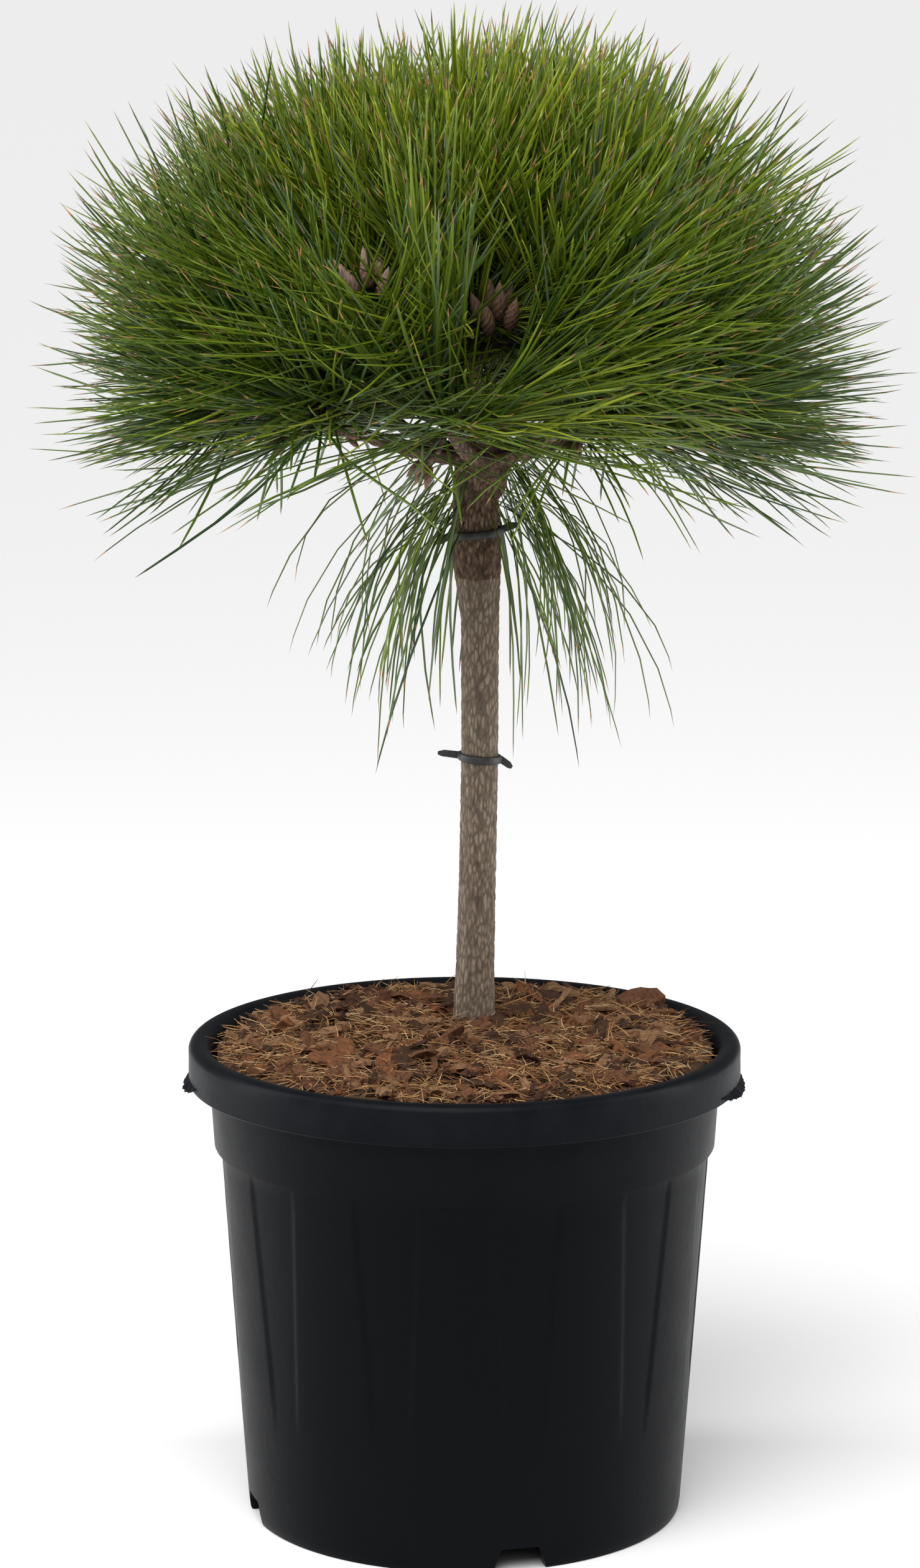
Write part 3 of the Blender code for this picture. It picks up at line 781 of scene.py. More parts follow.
def sink_flutes(piece):
    """Press the eleven tapering panels into the outer wall."""
    mesh = piece.data
    points = np.empty(len(mesh.vertices) * 3)
    mesh.vertices.foreach_get("co", points)
    points = points.reshape(-1, 3)
    radius = np.hypot(points[:, 0], points[:, 1])
    height = points[:, 2]
    on_wall = (height < FLUTE_TOP_Z) & (height > FLUTE_END_Z) & (radius > body_radius(height) - 0.4 * WALL)
    share = np.clip((height - FLUTE_END_Z) / (FLUTE_TOP_Z - FLUTE_END_Z), 0.0, 1.0)
    half = FLUTE_FOOT_HALF + (FLUTE_TOP_HALF - FLUTE_FOOT_HALF) * share
    pitch = math.tau / FLUTE_COUNT
    turn = np.arctan2(points[:, 1], points[:, 0]) - FLUTE_FIRST_TURN
    offset = np.abs((turn + 0.5 * pitch) % pitch - 0.5 * pitch)
    depth = np.clip((half - offset) / FLUTE_SHOULDER + 0.5, 0.0, 1.0)
    depth = depth * depth * (3.0 - 2.0 * depth) * np.clip(share * 5.0, 0.0, 1.0)
    scale = 1.0 - on_wall * depth * FLUTE_DEPTH / np.maximum(radius, 0.01)
    points[:, :2] *= scale[:, None]
    mesh.vertices.foreach_set("co", points.astype(np.float32).ravel())
    mesh.update()


def cut_notches(piece):
    """Cut the drainage notches out of the foot ring."""
    for index in range(NOTCH_COUNT):
        deselect()
        bpy.ops.mesh.primitive_cube_add(size=1.0, location=(0.0, 0.0, 0.0))
        cutter = bpy.context.object
        middle = 0.5 * (FOOT_INNER_RADIUS + BODY_FOOT_RADIUS)
        for vertex in cutter.data.vertices:
            top = vertex.co.z > 0.0
            vertex.co.x = middle + math.copysign(NOTCH_CUT_HALF, vertex.co.x)
            vertex.co.y = math.copysign(NOTCH_WIDTH * 0.5 - (NOTCH_TAPER if top else 0.0), vertex.co.y)
            vertex.co.z = NOTCH_HEIGHT if top else -0.0020
        cutter.rotation_euler.z = NOTCH_FIRST_TURN + index * math.tau / NOTCH_COUNT
        bpy.ops.object.transform_apply(location=False, rotation=True, scale=False)
        apply_modifier(cutter, "BEVEL", width=NOTCH_ROUNDING, segments=3)
        apply_modifier(piece, "BOOLEAN", object=cutter, operation="DIFFERENCE", solver="EXACT")
        bpy.data.objects.remove(cutter)


def torn_flash(name, first, last, seed):
    """Thin ragged fin of moulding flash that stands off the lower edge of the rim."""
    turns = np.radians(np.linspace(first, last, FLASH_STEPS))
    rng = np.random.default_rng(seed)
    swell = np.sin(np.linspace(0.0, math.pi, FLASH_STEPS)) ** 0.7
    reach = 0.0006 + 0.0036 * swell * rng.uniform(0.45, 1.0, FLASH_STEPS)
    drop = 0.0014 + 0.0050 * swell * rng.uniform(0.6, 1.0, FLASH_STEPS)
    inner = RIM_RADIUS - 0.0008
    upper = POT_HEIGHT - RIM_DROP + 0.0045
    parts = []
    for lift in (0.0, FLASH_THICKNESS):
        parts.append([(inner * math.cos(t), inner * math.sin(t), upper + lift) for t in turns])
        parts.append([(out * math.cos(t), out * math.sin(t), upper - down + lift)
                      for t, out, down in zip(turns, RIM_RADIUS + reach, drop)])
    points = np.array(parts).reshape(-1, 3)
    low_root, low_edge, top_root, top_edge = (np.arange(FLASH_STEPS) + k * FLASH_STEPS for k in range(4))
    quads = []
    for a, b in ((low_edge, low_root), (low_root, top_root), (top_root, top_edge), (top_edge, low_edge)):
        quads += [(a[i], a[i + 1], b[i + 1], b[i]) for i in range(FLASH_STEPS - 1)]
    quads.append((low_root[0], low_edge[0], top_edge[0], top_root[0]))
    quads.append((low_root[-1], top_root[-1], top_edge[-1], low_edge[-1]))
    return mesh_piece(name, points, np.array(quads).ravel(), np.full(len(quads), 4), (), smooth=False)


class PINE_OT_container(bpy.types.Operator):
    """Turn the container, press its panels, cut its notches and add the torn flash"""

    bl_idname = "pine.container"
    bl_label = "Container"

    def execute(self, context):
        settings = context.scene.pine_container
        finish = plastic_finish(settings.colour)
        container = turned("container", pot_outline(), settings.steps)
        sink_flutes(container)
        cut_notches(container)
        dress(container, finish)
        make_active(container)
        bpy.ops.object.shade_smooth_by_angle(angle=math.radians(32.0))
        seat(container, "container", "pot")
        for name, first, last, seed in FLASHES:
            flash = torn_flash(name, first, last, seed)
            dress(flash, finish)
            face_outward(flash)
            seat(flash, "container")
        return {"FINISHED"}


def mulch_height(x, y):
    """Height of the mulch's surface, heaped a little towards the trunk."""
    share = min(1.0, math.hypot(x, y) / MULCH_RADIUS)
    height = MULCH_CROWN_Z + (MULCH_EDGE_Z - MULCH_CROWN_Z) * share ** 1.6
    for size, cut, rise in MULCH_LUMPS:
        height += rise * noise.noise(Vector((x / size, y / size, cut)))
    return height


def chip_template(rng):
    """Uneven split chip with a grain, one unit long, as points and quads."""
    across, along = 3, 6
    u = np.linspace(-0.5, 0.5, along)
    v = np.linspace(-0.5, 0.5, across)
    width = 0.55 + 0.45 * np.sin(np.linspace(0.25, 2.9, along)) * rng.uniform(0.7, 1.2, along)
    sheets = []
    for lift in (-0.5, 0.5):
        x = u[:, None] + rng.uniform(-0.05, 0.05, (along, across))
        y = v[None, :] * width[:, None] + rng.uniform(-0.09, 0.09, (along, across))
        z = lift * 0.55 + rng.uniform(-0.22, 0.22, (along, across)) + 0.35 * (u[:, None] ** 2)
        sheets.append(np.stack((x, y, z), axis=-1).reshape(-1, 3))
    points = np.concatenate(sheets)
    size = along * across
    quads = []
    for i in range(along - 1):
        for j in range(across - 1):
            a, b, c, d = i * across + j, (i + 1) * across + j, (i + 1) * across + j + 1, i * across + j + 1
            quads.append((a, d, c, b))
            quads.append((a + size, b + size, c + size, d + size))
    rim = [i * across for i in range(along)] + [(along - 1) * across + j for j in range(1, across)]
    rim += [i * across + across - 1 for i in range(along - 2, -1, -1)] + [j for j in range(across - 2, 0, -1)]
    for a, b in zip(rim, rim[1:] + rim[:1]):
        quads.append((a, b, b + size, a + size))
    return points, np.array(quads)


def turn_matrices(turns, tilts, rolls):
    """Rotation matrices that roll, tilt and then turn."""
    ct, st = np.cos(turns), np.sin(turns)
    cp, sp = np.cos(tilts), np.sin(tilts)
    cr, sr = np.cos(rolls), np.sin(rolls)
    zero, one = np.zeros_like(ct), np.ones_like(ct)
    about_z = np.stack((ct, -st, zero, st, ct, zero, zero, zero, one), axis=-1).reshape(-1, 3, 3)
    about_y = np.stack((cp, zero, sp, zero, one, zero, -sp, zero, cp), axis=-1).reshape(-1, 3, 3)
    about_x = np.stack((one, zero, zero, zero, cr, -sr, zero, sr, cr), axis=-1).reshape(-1, 3, 3)
    return about_z @ about_y @ about_x


def strew(rng, count, reach):
    """Random places on the mulch, clear of the trunk."""
    places = []
    while len(places) < count:
        radius = reach * math.sqrt(rng.random())
        turn = rng.random() * math.tau
        x, y = radius * math.cos(turn), radius * math.sin(turn)
        if math.hypot(x - TRUNK_STATIONS[0][1], y - TRUNK_FOOT_Y) > TRUNK_CLEARANCE:
            places.append((x, y, mulch_height(x, y)))
    return np.array(places)


def build_chips(count):
    """Strew bark chips over the mulch, a few of them large ones at places of their own."""
    rng = np.random.default_rng(21)
    templates = [chip_template(rng) for _ in range(CHIP_TEMPLATES)]
    places = strew(rng, count, MULCH_RADIUS - CHIP_EDGE_GAP)
    lengths = rng.gamma(CHIP_LENGTH_SHAPE, CHIP_LENGTH_SCALE, count).clip(*CHIP_LENGTHS)
    near_edge = np.hypot(places[:, 0], places[:, 1]) > MULCH_RADIUS - CHIP_EDGE_BAND
    lengths[near_edge] = lengths[near_edge].clip(*CHIP_EDGE_LENGTHS)
    widths = lengths * rng.uniform(*CHIP_WIDTH_SHARE, count)
    thicks = rng.uniform(*CHIP_THICKNESS, count)
    turns = rng.uniform(0.0, math.tau, count)
    tilts = rng.normal(0.0, CHIP_TILT, count)
    rolls = rng.normal(0.0, CHIP_ROLL, count)
    places[:, 2] += rng.uniform(*CHIP_LIFT, count)
    for index, (place, *measures) in enumerate(LARGE_CHIPS):
        places[index] = place
        for values, measure in zip((lengths, widths, thicks, turns, tilts, rolls), measures):
            values[index] = measure
    matrices = turn_matrices(turns, tilts, rolls)
    parts, slots = [], []
    for index in range(count):
        points, quads = templates[index % len(templates)]
        sized = points * (lengths[index], widths[index], thicks[index])
        parts.append((sized @ matrices[index].T + places[index], quads.ravel(), np.full(len(quads), 4)))
        slots.append(np.full(len(quads), rng.choice(len(CHIP_COLOURS), p=CHIP_SHARES)))
    finishes = [speckled_finish(name, ((0.30, dark), (0.62, light)), 0.88, 420.0, 0.5, 0.0005, 0.2)
                for name, light, dark in CHIP_COLOURS]
    return mesh_piece("bark_chips", *join_arrays(parts), finishes, np.concatenate(slots), smooth=False)


def build_fibres(count, width):
    """Strew fine curved coir fibres over the mulch."""
    rng = np.random.default_rng(33)
    places = strew(rng, count, MULCH_RADIUS - FIBRE_EDGE_GAP)
    lengths = rng.gamma(FIBRE_LENGTH_SHAPE, FIBRE_LENGTH_SCALE, count).clip(*FIBRE_LENGTHS)
    edge = MULCH_RADIUS + FIBRE_EDGE_GAP - np.hypot(places[:, 0], places[:, 1])
    turns = rng.uniform(0.0, math.tau, count)
    rises = rng.normal(*FIBRE_RISE, count)
    bends = rng.normal(0.0, FIBRE_BEND, count)
    outward = np.cos(turns - np.arctan2(places[:, 1], places[:, 0])) > 0.2
    lengths = np.where(outward, np.minimum(lengths, edge + FIBRE_EDGE_GAP), lengths)
    places[:, 2] += rng.uniform(*FIBRE_LIFT, count)
    rings = len(FIBRE_PROFILE)
    steps = np.linspace(-0.5, 0.5, rings)
    flat = np.cos(rises)
    heading = np.stack((np.cos(turns) * flat, np.sin(turns) * flat, np.sin(rises)), axis=-1)
    across = np.stack((-np.sin(turns), np.cos(turns), np.zeros(count)), axis=-1)
    line = places[:, None, :] + heading[:, None, :] * (steps[None, :, None] * lengths[:, None, None])
    line = line + across[:, None, :] * ((steps ** 2)[None, :, None] * (bends * lengths)[:, None, None])
    line[:, :, 2] -= (steps ** 2)[None, :] * lengths[:, None] * rng.uniform(0.0, FIBRE_SAG, count)[:, None]
    half = np.array(FIBRE_PROFILE) * width * 0.5
    thick = rng.uniform(*FIBRE_THICKNESS, count)
    upward = unit(np.cross(heading, across))
    corner = (np.arange(3) * math.tau / 3.0)[None, :, None]
    ring = np.cos(corner) * across[:, None, :] + np.sin(corner) * upward[:, None, :]
    sized = half[None, :, None, None] * thick[:, None, None, None]
    points = line[:, :, None, :] + ring[:, None, :, :] * sized
    quads = ring_faces(rings, 3)[:, (0, 3, 2, 1)]
    caps = np.array(((0, 1, 2), (3 * rings - 1, 3 * rings - 2, 3 * rings - 3)))
    corners, counts = face_arrays(quads, caps, count, 3 * rings)
    tone = rng.choice(len(FIBRE_COLOURS), count, p=FIBRE_SHARES)
    slots = np.concatenate((np.repeat(tone, len(quads)), np.repeat(tone, len(caps))))
    finishes = [plain_finish(name, colour, 0.75, 0.3) for name, colour in FIBRE_COLOURS]
    return mesh_piece("coir_fibres", points.reshape(-1, 3), corners, counts, finishes, slots)


class PINE_OT_mulch(bpy.types.Operator):
    """Lay the mulch bed, its bark chips and its coir fibres, and give the root ball its soil"""

    bl_idname = "pine.mulch"
    bl_label = "Mulch"

    def execute(self, context):
        settings = context.scene.pine_mulch
        soil = speckled_finish("moist_soil", ((0.30, (0.010, 0.006, 0.004)), (0.70, (0.045, 0.026, 0.016))),
                               0.95, 160.0)
        root_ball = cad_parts["root_ball"]
        dress(root_ball, soil)
        outline = [(MULCH_RADIUS * k / MULCH_RINGS, MULCH_CROWN_Z) for k in range(MULCH_RINGS + 1)]
        outline += [(MULCH_RADIUS - 0.0006, SOIL_Z + 0.0004), (0.0, SOIL_Z + 0.0004)]
        bed = turned("mulch_bed", outline, MULCH_STEPS)
        for vertex in bed.data.vertices:
            if vertex.co.z > MULCH_CROWN_Z - 0.001:
                vertex.co.z = mulch_height(vertex.co.x, vertex.co.y)
        bed.data.update()
        peat = speckled_finish("mulch_crumbs", ((0.28, (0.016, 0.008, 0.005)), (0.72, (0.120, 0.052, 0.024))),
                               0.95, 150.0, 1.0, 0.0012)
        dress(bed, peat)
        make_active(bed)
        bpy.ops.object.shade_smooth()
        seat(bed, "mulch", "mulch")
        seat(build_chips(settings.chips), "mulch")
        seat(build_fibres(settings.fibres, settings.fibre_width), "mulch")
        return {"FINISHED"}


def trunk_centre(height):
    sideways = read_table(height, [station[:2] for station in TRUNK_STATIONS])
    rise = np.clip((height - TRUNK_STATIONS[1][0]) / (FORK[2] - TRUNK_STATIONS[1][0]), 0.0, 1.0)
    return np.array((sideways, TRUNK_FOOT_Y + (TRUNK_FORK_Y - TRUNK_FOOT_Y) * rise, height))


def trunk_radius(height):
    return 0.5 * read_table(height, [station[::2] for station in TRUNK_STATIONS])


def plates(place, width, height):
    """Bark relief from 0 in a crack to 1 on a plate, by the two nearest cells of a stretched pattern."""
    stretched = Vector((place[0] / width, place[1] / width, place[2] / height))
    warp = noise.noise_vector(stretched * 0.6) * 0.35
    near, second = noise.voronoi(stretched + warp)[0][:2]
    return min(1.0, max(0.0, (second - near) / 0.42))


def rough_limb(line, radii, sides, width, height, depth, knuckle=0.0):
    """Tube with bark relief pressed into it, as arrays and a relief value for each point."""
    points, corners, counts = tube_arrays(line, radii, sides)
    line = np.asarray(line, float)
    centres = np.concatenate((np.repeat(line, sides, axis=0), line[:1], line[-1:]))
    relief = np.zeros(len(points))
    for index in range(len(line) * sides):
        place = points[index]
        plate = plates(place, width, height)
        flake = noise.noise(Vector(place) / (0.35 * width))
        lump = noise.noise(Vector(place) / 0.007) * knuckle
        relief[index] = min(1.0, max(0.0, plate * (0.80 + 0.35 * flake)))
        outward = place - centres[index]
        outward /= max(1e-9, float(np.linalg.norm(outward)))
        points[index] = place + outward * (depth * (relief[index] - 0.55) + lump)
    return (points, corners, counts), relief


def swell_graft(points):
    """Push the wood above the graft in and out in lumps, and tell which points lie above it."""
    above = points[:, 2] > GRAFT_Z
    for index in np.flatnonzero(above):
        place = Vector(points[index])
        lump = sum(noise.noise(place / size) * rise for size, rise in GRAFT_LUMPS)
        fade = min(1.0, (points[index][2] - GRAFT_Z) / GRAFT_FADE)
        outward = unit((points[index] - trunk_centre(points[index][2])) * (1.0, 1.0, 0.0))
        points[index] += outward * lump * fade
    return above


class PINE_OT_trunk(bpy.types.Operator):
    """Model the trunk with its bark, root flare, graft swelling and fork knob"""

    bl_idname = "pine.trunk"
    bl_label = "Trunk"

    def execute(self, context):
        settings = context.scene.pine_bark
        finishes = (bark_finish("trunk_bark"), bark_finish("graft_bark"))
        heights = np.linspace(TRUNK_STATIONS[0][0], TRUNK_STATIONS[-1][0], TRUNK_RINGS)
        line = [trunk_centre(height) for height in heights]
        radii = [float(trunk_radius(height)) for height in heights]
        (points, corners, counts), relief = rough_limb(
            line, radii, TRUNK_SIDES, settings.plate_width, settings.plate_height, settings.depth)
        above = swell_graft(points)
        first = corners[np.concatenate(([0], np.cumsum(counts)[:-1]))]
        slots = above[first].astype(int)
        trunk = mesh_piece("trunk_wood", points, corners, counts, finishes, slots, relief=relief)
        seat(trunk, "trunk_bark", "trunk")
        return {"FINISHED"}


def crown_cells():
    """Every limb as (mass node, bough node, direction, start distance, diameters)."""
    cells = []
    for index, azimuth in enumerate(LOWER_AZIMUTHS, 1):
        cells.append((f"lower_mass_{index}", f"lower_bough_{index}", direction(azimuth, LOWER_ELEVATION),
                      LOWER_START, LOWER_BOUGH_DIAMETERS))
    for index, azimuth in enumerate(UPPER_AZIMUTHS, 1):
        cells.append((f"upper_mass_{index}", f"upper_bough_{index}", direction(azimuth, UPPER_ELEVATION),
                      UPPER_START, UPPER_BOUGH_DIAMETERS))
    cells.append(("top_mass", "leader", direction(0.0, 90.0), TOP_START, LEADER_DIAMETERS))
    return cells


def quadratic(start, bend, end, share):
    """Point on the curve from start to end that bends towards a third point."""
    return start * (1.0 - share) ** 2 + bend * (2.0 * share * (1.0 - share)) + end * share ** 2


def along(line, shares):
    """Points at shares of the way through a line of points."""
    old = np.linspace(0.0, 1.0, len(line))
    return np.stack([np.interp(shares, old, line[:, axis]) for axis in range(3)], axis=-1)


def bough_point(way, start, t):
    """Point on a bough's centre line, from the fork at 0 to its seat at 1."""
    end = HEART + way * (start + BOUGH_SEAT)
    flat = math.hypot(way[0], way[1])
    bend = FORK + (end - FORK) * BOUGH_BEND - np.array((0.0, 0.0, BOUGH_SAG * flat))
    return quadratic(FORK, bend, end, t)


def crown_reach(offsets):
    """Distance from the heart to the crown's outline in the direction of each offset."""
    offsets = np.atleast_2d(offsets)
    rise = np.degrees(np.arcsin(np.clip(offsets[:, 2] / np.linalg.norm(offsets, axis=1), -1.0, 1.0)))
    return read_table(rise, CROWN_OUTLINE)


def shoot_targets(count, rng):
    """Even spread of shoot tips over the crown, with the two bud clusters at their own places."""
    targets = []
    lowest = math.sin(LOWEST_SHOOT)
    for index in range(count):
        height = 1.0 - (1.0 - lowest) * (index + 0.5) / count
        turn = index * math.pi * (3.0 - math.sqrt(5.0)) + rng.normal(0.0, 0.10)
        flat = math.sqrt(max(0.0, 1.0 - height * height))
        way = np.array((flat * math.cos(turn), flat * math.sin(turn), height))
        distance = float(crown_reach(way)[0]) * rng.uniform(*SHOOT_REACH)
        targets.append(HEART + way * distance)
    for tip in BUD_SHOOTS:
        gaps = [float(np.linalg.norm(target - tip)) for target in targets]
        targets[int(np.argmin(gaps))] = tip
    return targets


def grow_shoots(settings):
    """Seeded branching: every shoot grows out of the nearest bough and bends up a little on its way."""
    rng = np.random.default_rng(settings.seed)
    cells = crown_cells()
    ways = np.array([cell[2] for cell in cells])
    shoots = []
    for target in shoot_targets(settings.shoots, rng):
        way = unit(target - HEART)
        nearest = int(np.argmax(ways @ way))
        mass, _, bough_way, start, _ = cells[nearest]
        lean = float(ways[nearest] @ way)
        t = 0.62 + 0.38 * max(0.0, (lean - 0.88) / 0.12)
        root = bough_point(bough_way, start, t)
        before = bough_point(bough_way, start, t - 0.05)
        ahead = unit(bough_point(bough_way, start, min(1.0, t + 0.05)) - before)
        bend = root + ahead * float(np.linalg.norm(target - root)) * SHOOT_BEND
        steps = np.linspace(0.0, 1.0, SHOOT_LINE_STEPS)[:, None]
        line = quadratic(root, bend, target, steps)
        line[1:-1] += rng.normal(0.0, SHOOT_WOBBLE, (SHOOT_LINE_STEPS - 2, 3))
        shoots.append({"line": line, "mass": mass, "tip": target})
    return shoots


def bud_template():
    """Pointed bud, one unit long, with scales that overlap upwards, and a tone for each point."""
    points, tones = [], []
    for ring in range(BUD_RING_COUNT):
        share = ring / (BUD_RING_COUNT - 1)
        radius = 0.200 * math.sin(math.pi * min(1.0, 0.16 + 0.84 * share)) ** 0.75 if share < 1.0 else 0.0
        radius = radius * (1.0 - 0.35 * share) + 0.01
        for side in range(BUD_SIDES):
            turn = side * math.tau / BUD_SIDES
            scale = (ring * 0.5 + side * 1.5) % 1.0
            swell = 1.0 + (0.16 if scale < 0.5 else -0.07)
            reach = radius * swell
            points.append((reach * math.cos(turn), reach * math.sin(turn), share + 0.02 * scale))
            tones.append(0.30 + 0.45 * share + (0.25 if scale < 0.5 else 0.0))
    points += [(0.0, 0.0, 0.0), (0.0, 0.0, 1.06)]
    tones += [0.2, 1.0]
    return np.array(points), np.array(tones)


def frame_along(way):
    """Two directions square to a way."""
    reference = np.array((0.0, 0.0, 1.0)) if abs(way[2]) < 0.9 else np.array((1.0, 0.0, 0.0))
    side = unit(np.cross(reference, way))
    return side, np.cross(way, side)


def build_buds(shoots, rng):
    """A cluster of buds on the tip of every shoot, with the two clusters that show larger."""
    template, tones = bud_template()
    corners, counts = face_arrays(ring_faces(BUD_RING_COUNT, BUD_SIDES), cap_faces(BUD_RING_COUNT, BUD_SIDES))
    parts, relief, slots = [], [], []
    for shoot in shoots:
        shown = [index for index, tip in enumerate(BUD_SHOOTS) if np.allclose(tip, shoot["tip"])]
        ahead = unit(shoot["line"][-1] - shoot["line"][-2])
        if shown:
            ahead = unit(np.array((0.05 - 0.15 * shown[0], -0.25, 1.0)))
        side, other = frame_along(ahead)
        for member in range(SHOWN_BUD_COUNT if shown else BUD_COUNT):
            turn = member * 2.399 + rng.uniform(-0.3, 0.3)
            outward = side * math.cos(turn) + other * math.sin(turn)
            spread = rng.uniform(*BUD_SPREAD) if member else 0.0
            lean = unit(ahead + outward * spread)
            length = rng.uniform(*(SHOWN_BUD_LENGTHS if shown else BUD_LENGTHS))
            thick = length * (1.05 if shown else 0.95)
            shift = BUD_SHIFT * (1.0 if shown else SMALL_BUD_SHIFT) if member else 0.0
            stagger = rng.uniform(0.0, SHOWN_BUD_STAGGER) if shown and member else 0.0
            base = shoot["line"][-1] - ahead * (BUD_SINK + stagger) + outward * shift
            u, v = frame_along(lean)
            axes = np.array((u * thick, v * thick, lean * length))
            parts.append((base + template @ axes, corners, counts))
            relief.append(tones)
            slots.append(np.full(len(counts), 1 if shown and shown[0] == 1 else 0))
    finishes = (bark_finish("bud_scales"), bark_finish("bud_scales_pale"))
    return mesh_piece("buds", *join_arrays(parts), finishes, np.concatenate(slots),
                      relief=np.concatenate(relief))


def limb_piece(name, limbs, finish):
    """Join rough limbs, each given as arrays and relief, into one piece of bark."""
    arrays, relief = zip(*limbs)
    return mesh_piece(name, *join_arrays(arrays), (finish,), relief=np.concatenate(relief))


class PINE_OT_boughs(bpy.types.Operator):
    """Grow the boughs, the shoots on them and the buds on their tips"""

    bl_idname = "pine.boughs"
    bl_label = "Boughs"

    def execute(self, context):
        settings = context.scene.pine_crown
        shoots = grow_shoots(settings)
        steps = np.linspace(0.0, 1.0, BOUGH_STEPS)
        limbs, nodes = [], []
        for _, bough, way, start, (root, tip) in crown_cells():
            line = np.array([bough_point(way, start, t) for t in steps])
            limbs.append(rough_limb(line, 0.5 * (root + (tip - root) * steps), BOUGH_SIDES, *BOUGH_RELIEF))
            nodes.append(bough)
        seat(limb_piece("boughs", limbs, bark_finish("bough_bark")), "bough_bark", *nodes)
        steps = np.linspace(0.0, 1.0, SHOOT_STEPS)
        radii = SHOOT_ROOT_RADIUS - SHOOT_TAPER * steps
        limbs = [rough_limb(along(shoot["line"], steps), radii, SHOOT_SIDES, *SHOOT_RELIEF)
                 for shoot in shoots]
        seat(limb_piece("shoots", limbs, bark_finish("shoot_bark")), "bough_bark")
        seat(build_buds(shoots, np.random.default_rng(settings.seed + 1)), "bough_bark")
        return {"FINISHED"}


def needle_faces():
    """Quads and triangles of one needle: three-sided rings, a foot and a pointed tip."""
    rings = len(NEEDLE_RINGS)
    last = (rings - 1) * NEEDLE_SIDES
    head = [(last + side, last + (side + 1) % NEEDLE_SIDES, last + NEEDLE_SIDES)
            for side in range(NEEDLE_SIDES)]
    return ring_faces(rings, NEEDLE_SIDES), np.array([(2, 1, 0), *head])


def needle_points(needles, share):
    """Points at a share of the way along each needle."""
    foot, first, last, length, curl = needles[:5]
    bend = curl * (share ** 2 - 0.55 * share ** 3) * 1.6
    return foot + length * (first * (share - 0.5 * share ** 2) + last * (0.5 * share ** 2) + bend)


def needle_piece(name, needles, width, finishes):
    """Join needles, given by foot, first and last way, length, curl, tone and tip tone, into one mesh."""
    foot, first, last, length, curl, tone, tip = needles
    count = len(foot)
    steps = np.append(NEEDLE_RINGS, 1.0)[None, :, None]
    shaped = (foot[:, None, :], first[:, None, :], last[:, None, :], length[:, None, None], curl[:, None, :])
    line = needle_points(shaped, steps)
    ahead = unit(np.gradient(line, axis=1))
    across = unit(np.cross(ahead, unit(first + np.array((0.13, 0.21, 0.55)))[:, None, :]))[:, :-1, None, :]
    other = np.cross(ahead[:, :-1, None, :], across)
    turns = np.radians((-90.0, 30.0, 150.0))[None, None, :, None]
    ring = np.cos(turns) * across + np.sin(turns) * NEEDLE_FLATNESS * other
    half = 0.58 * width * NEEDLE_PROFILE[None, :, None, None]
    points = (line[:, :-1, None, :] + ring * half).reshape(count, -1, 3)
    points = np.concatenate((points, line[:, -1:, :]), axis=1)
    quads, tris = needle_faces()
    corners, counts = face_arrays(quads, tris, count, points.shape[1])
    slots = np.concatenate((np.repeat(tone, len(quads)), np.stack((tone, tip, tip, tip), axis=-1).ravel()))
    return mesh_piece(name, points.reshape(-1, 3), corners, counts, finishes, slots)


def deal_tones(place, rng):
    """Needle tone of one spray, with painted light and shade: lit tones towards the top, front and middle,
    painted shade low, behind and at the sides.
    """
    rise = place[2] - HEART[2] - LIGHT_HEIGHT
    light = SPRAY_LIGHT + LIGHT_BY_HEIGHT * rise - LIGHT_BY_DEPTH * place[1] - LIGHT_BY_SIDE * abs(place[0])
    tone = int(np.clip(4.7 - 4.4 * (light + rng.normal(0.0, LIGHT_SCATTER)), 0, SHADE_TONE))
    return GREY_TONE if rng.random() < GREY_SHARE else tone


def deal_tips(chance, orange, brown, tone):
    """Tone of each needle's tip: orange or brown up to these chances, else as the needle."""
    return np.where(chance < orange, TIP_ORANGE, np.where(chance < brown, TIP_BROWN, tone))


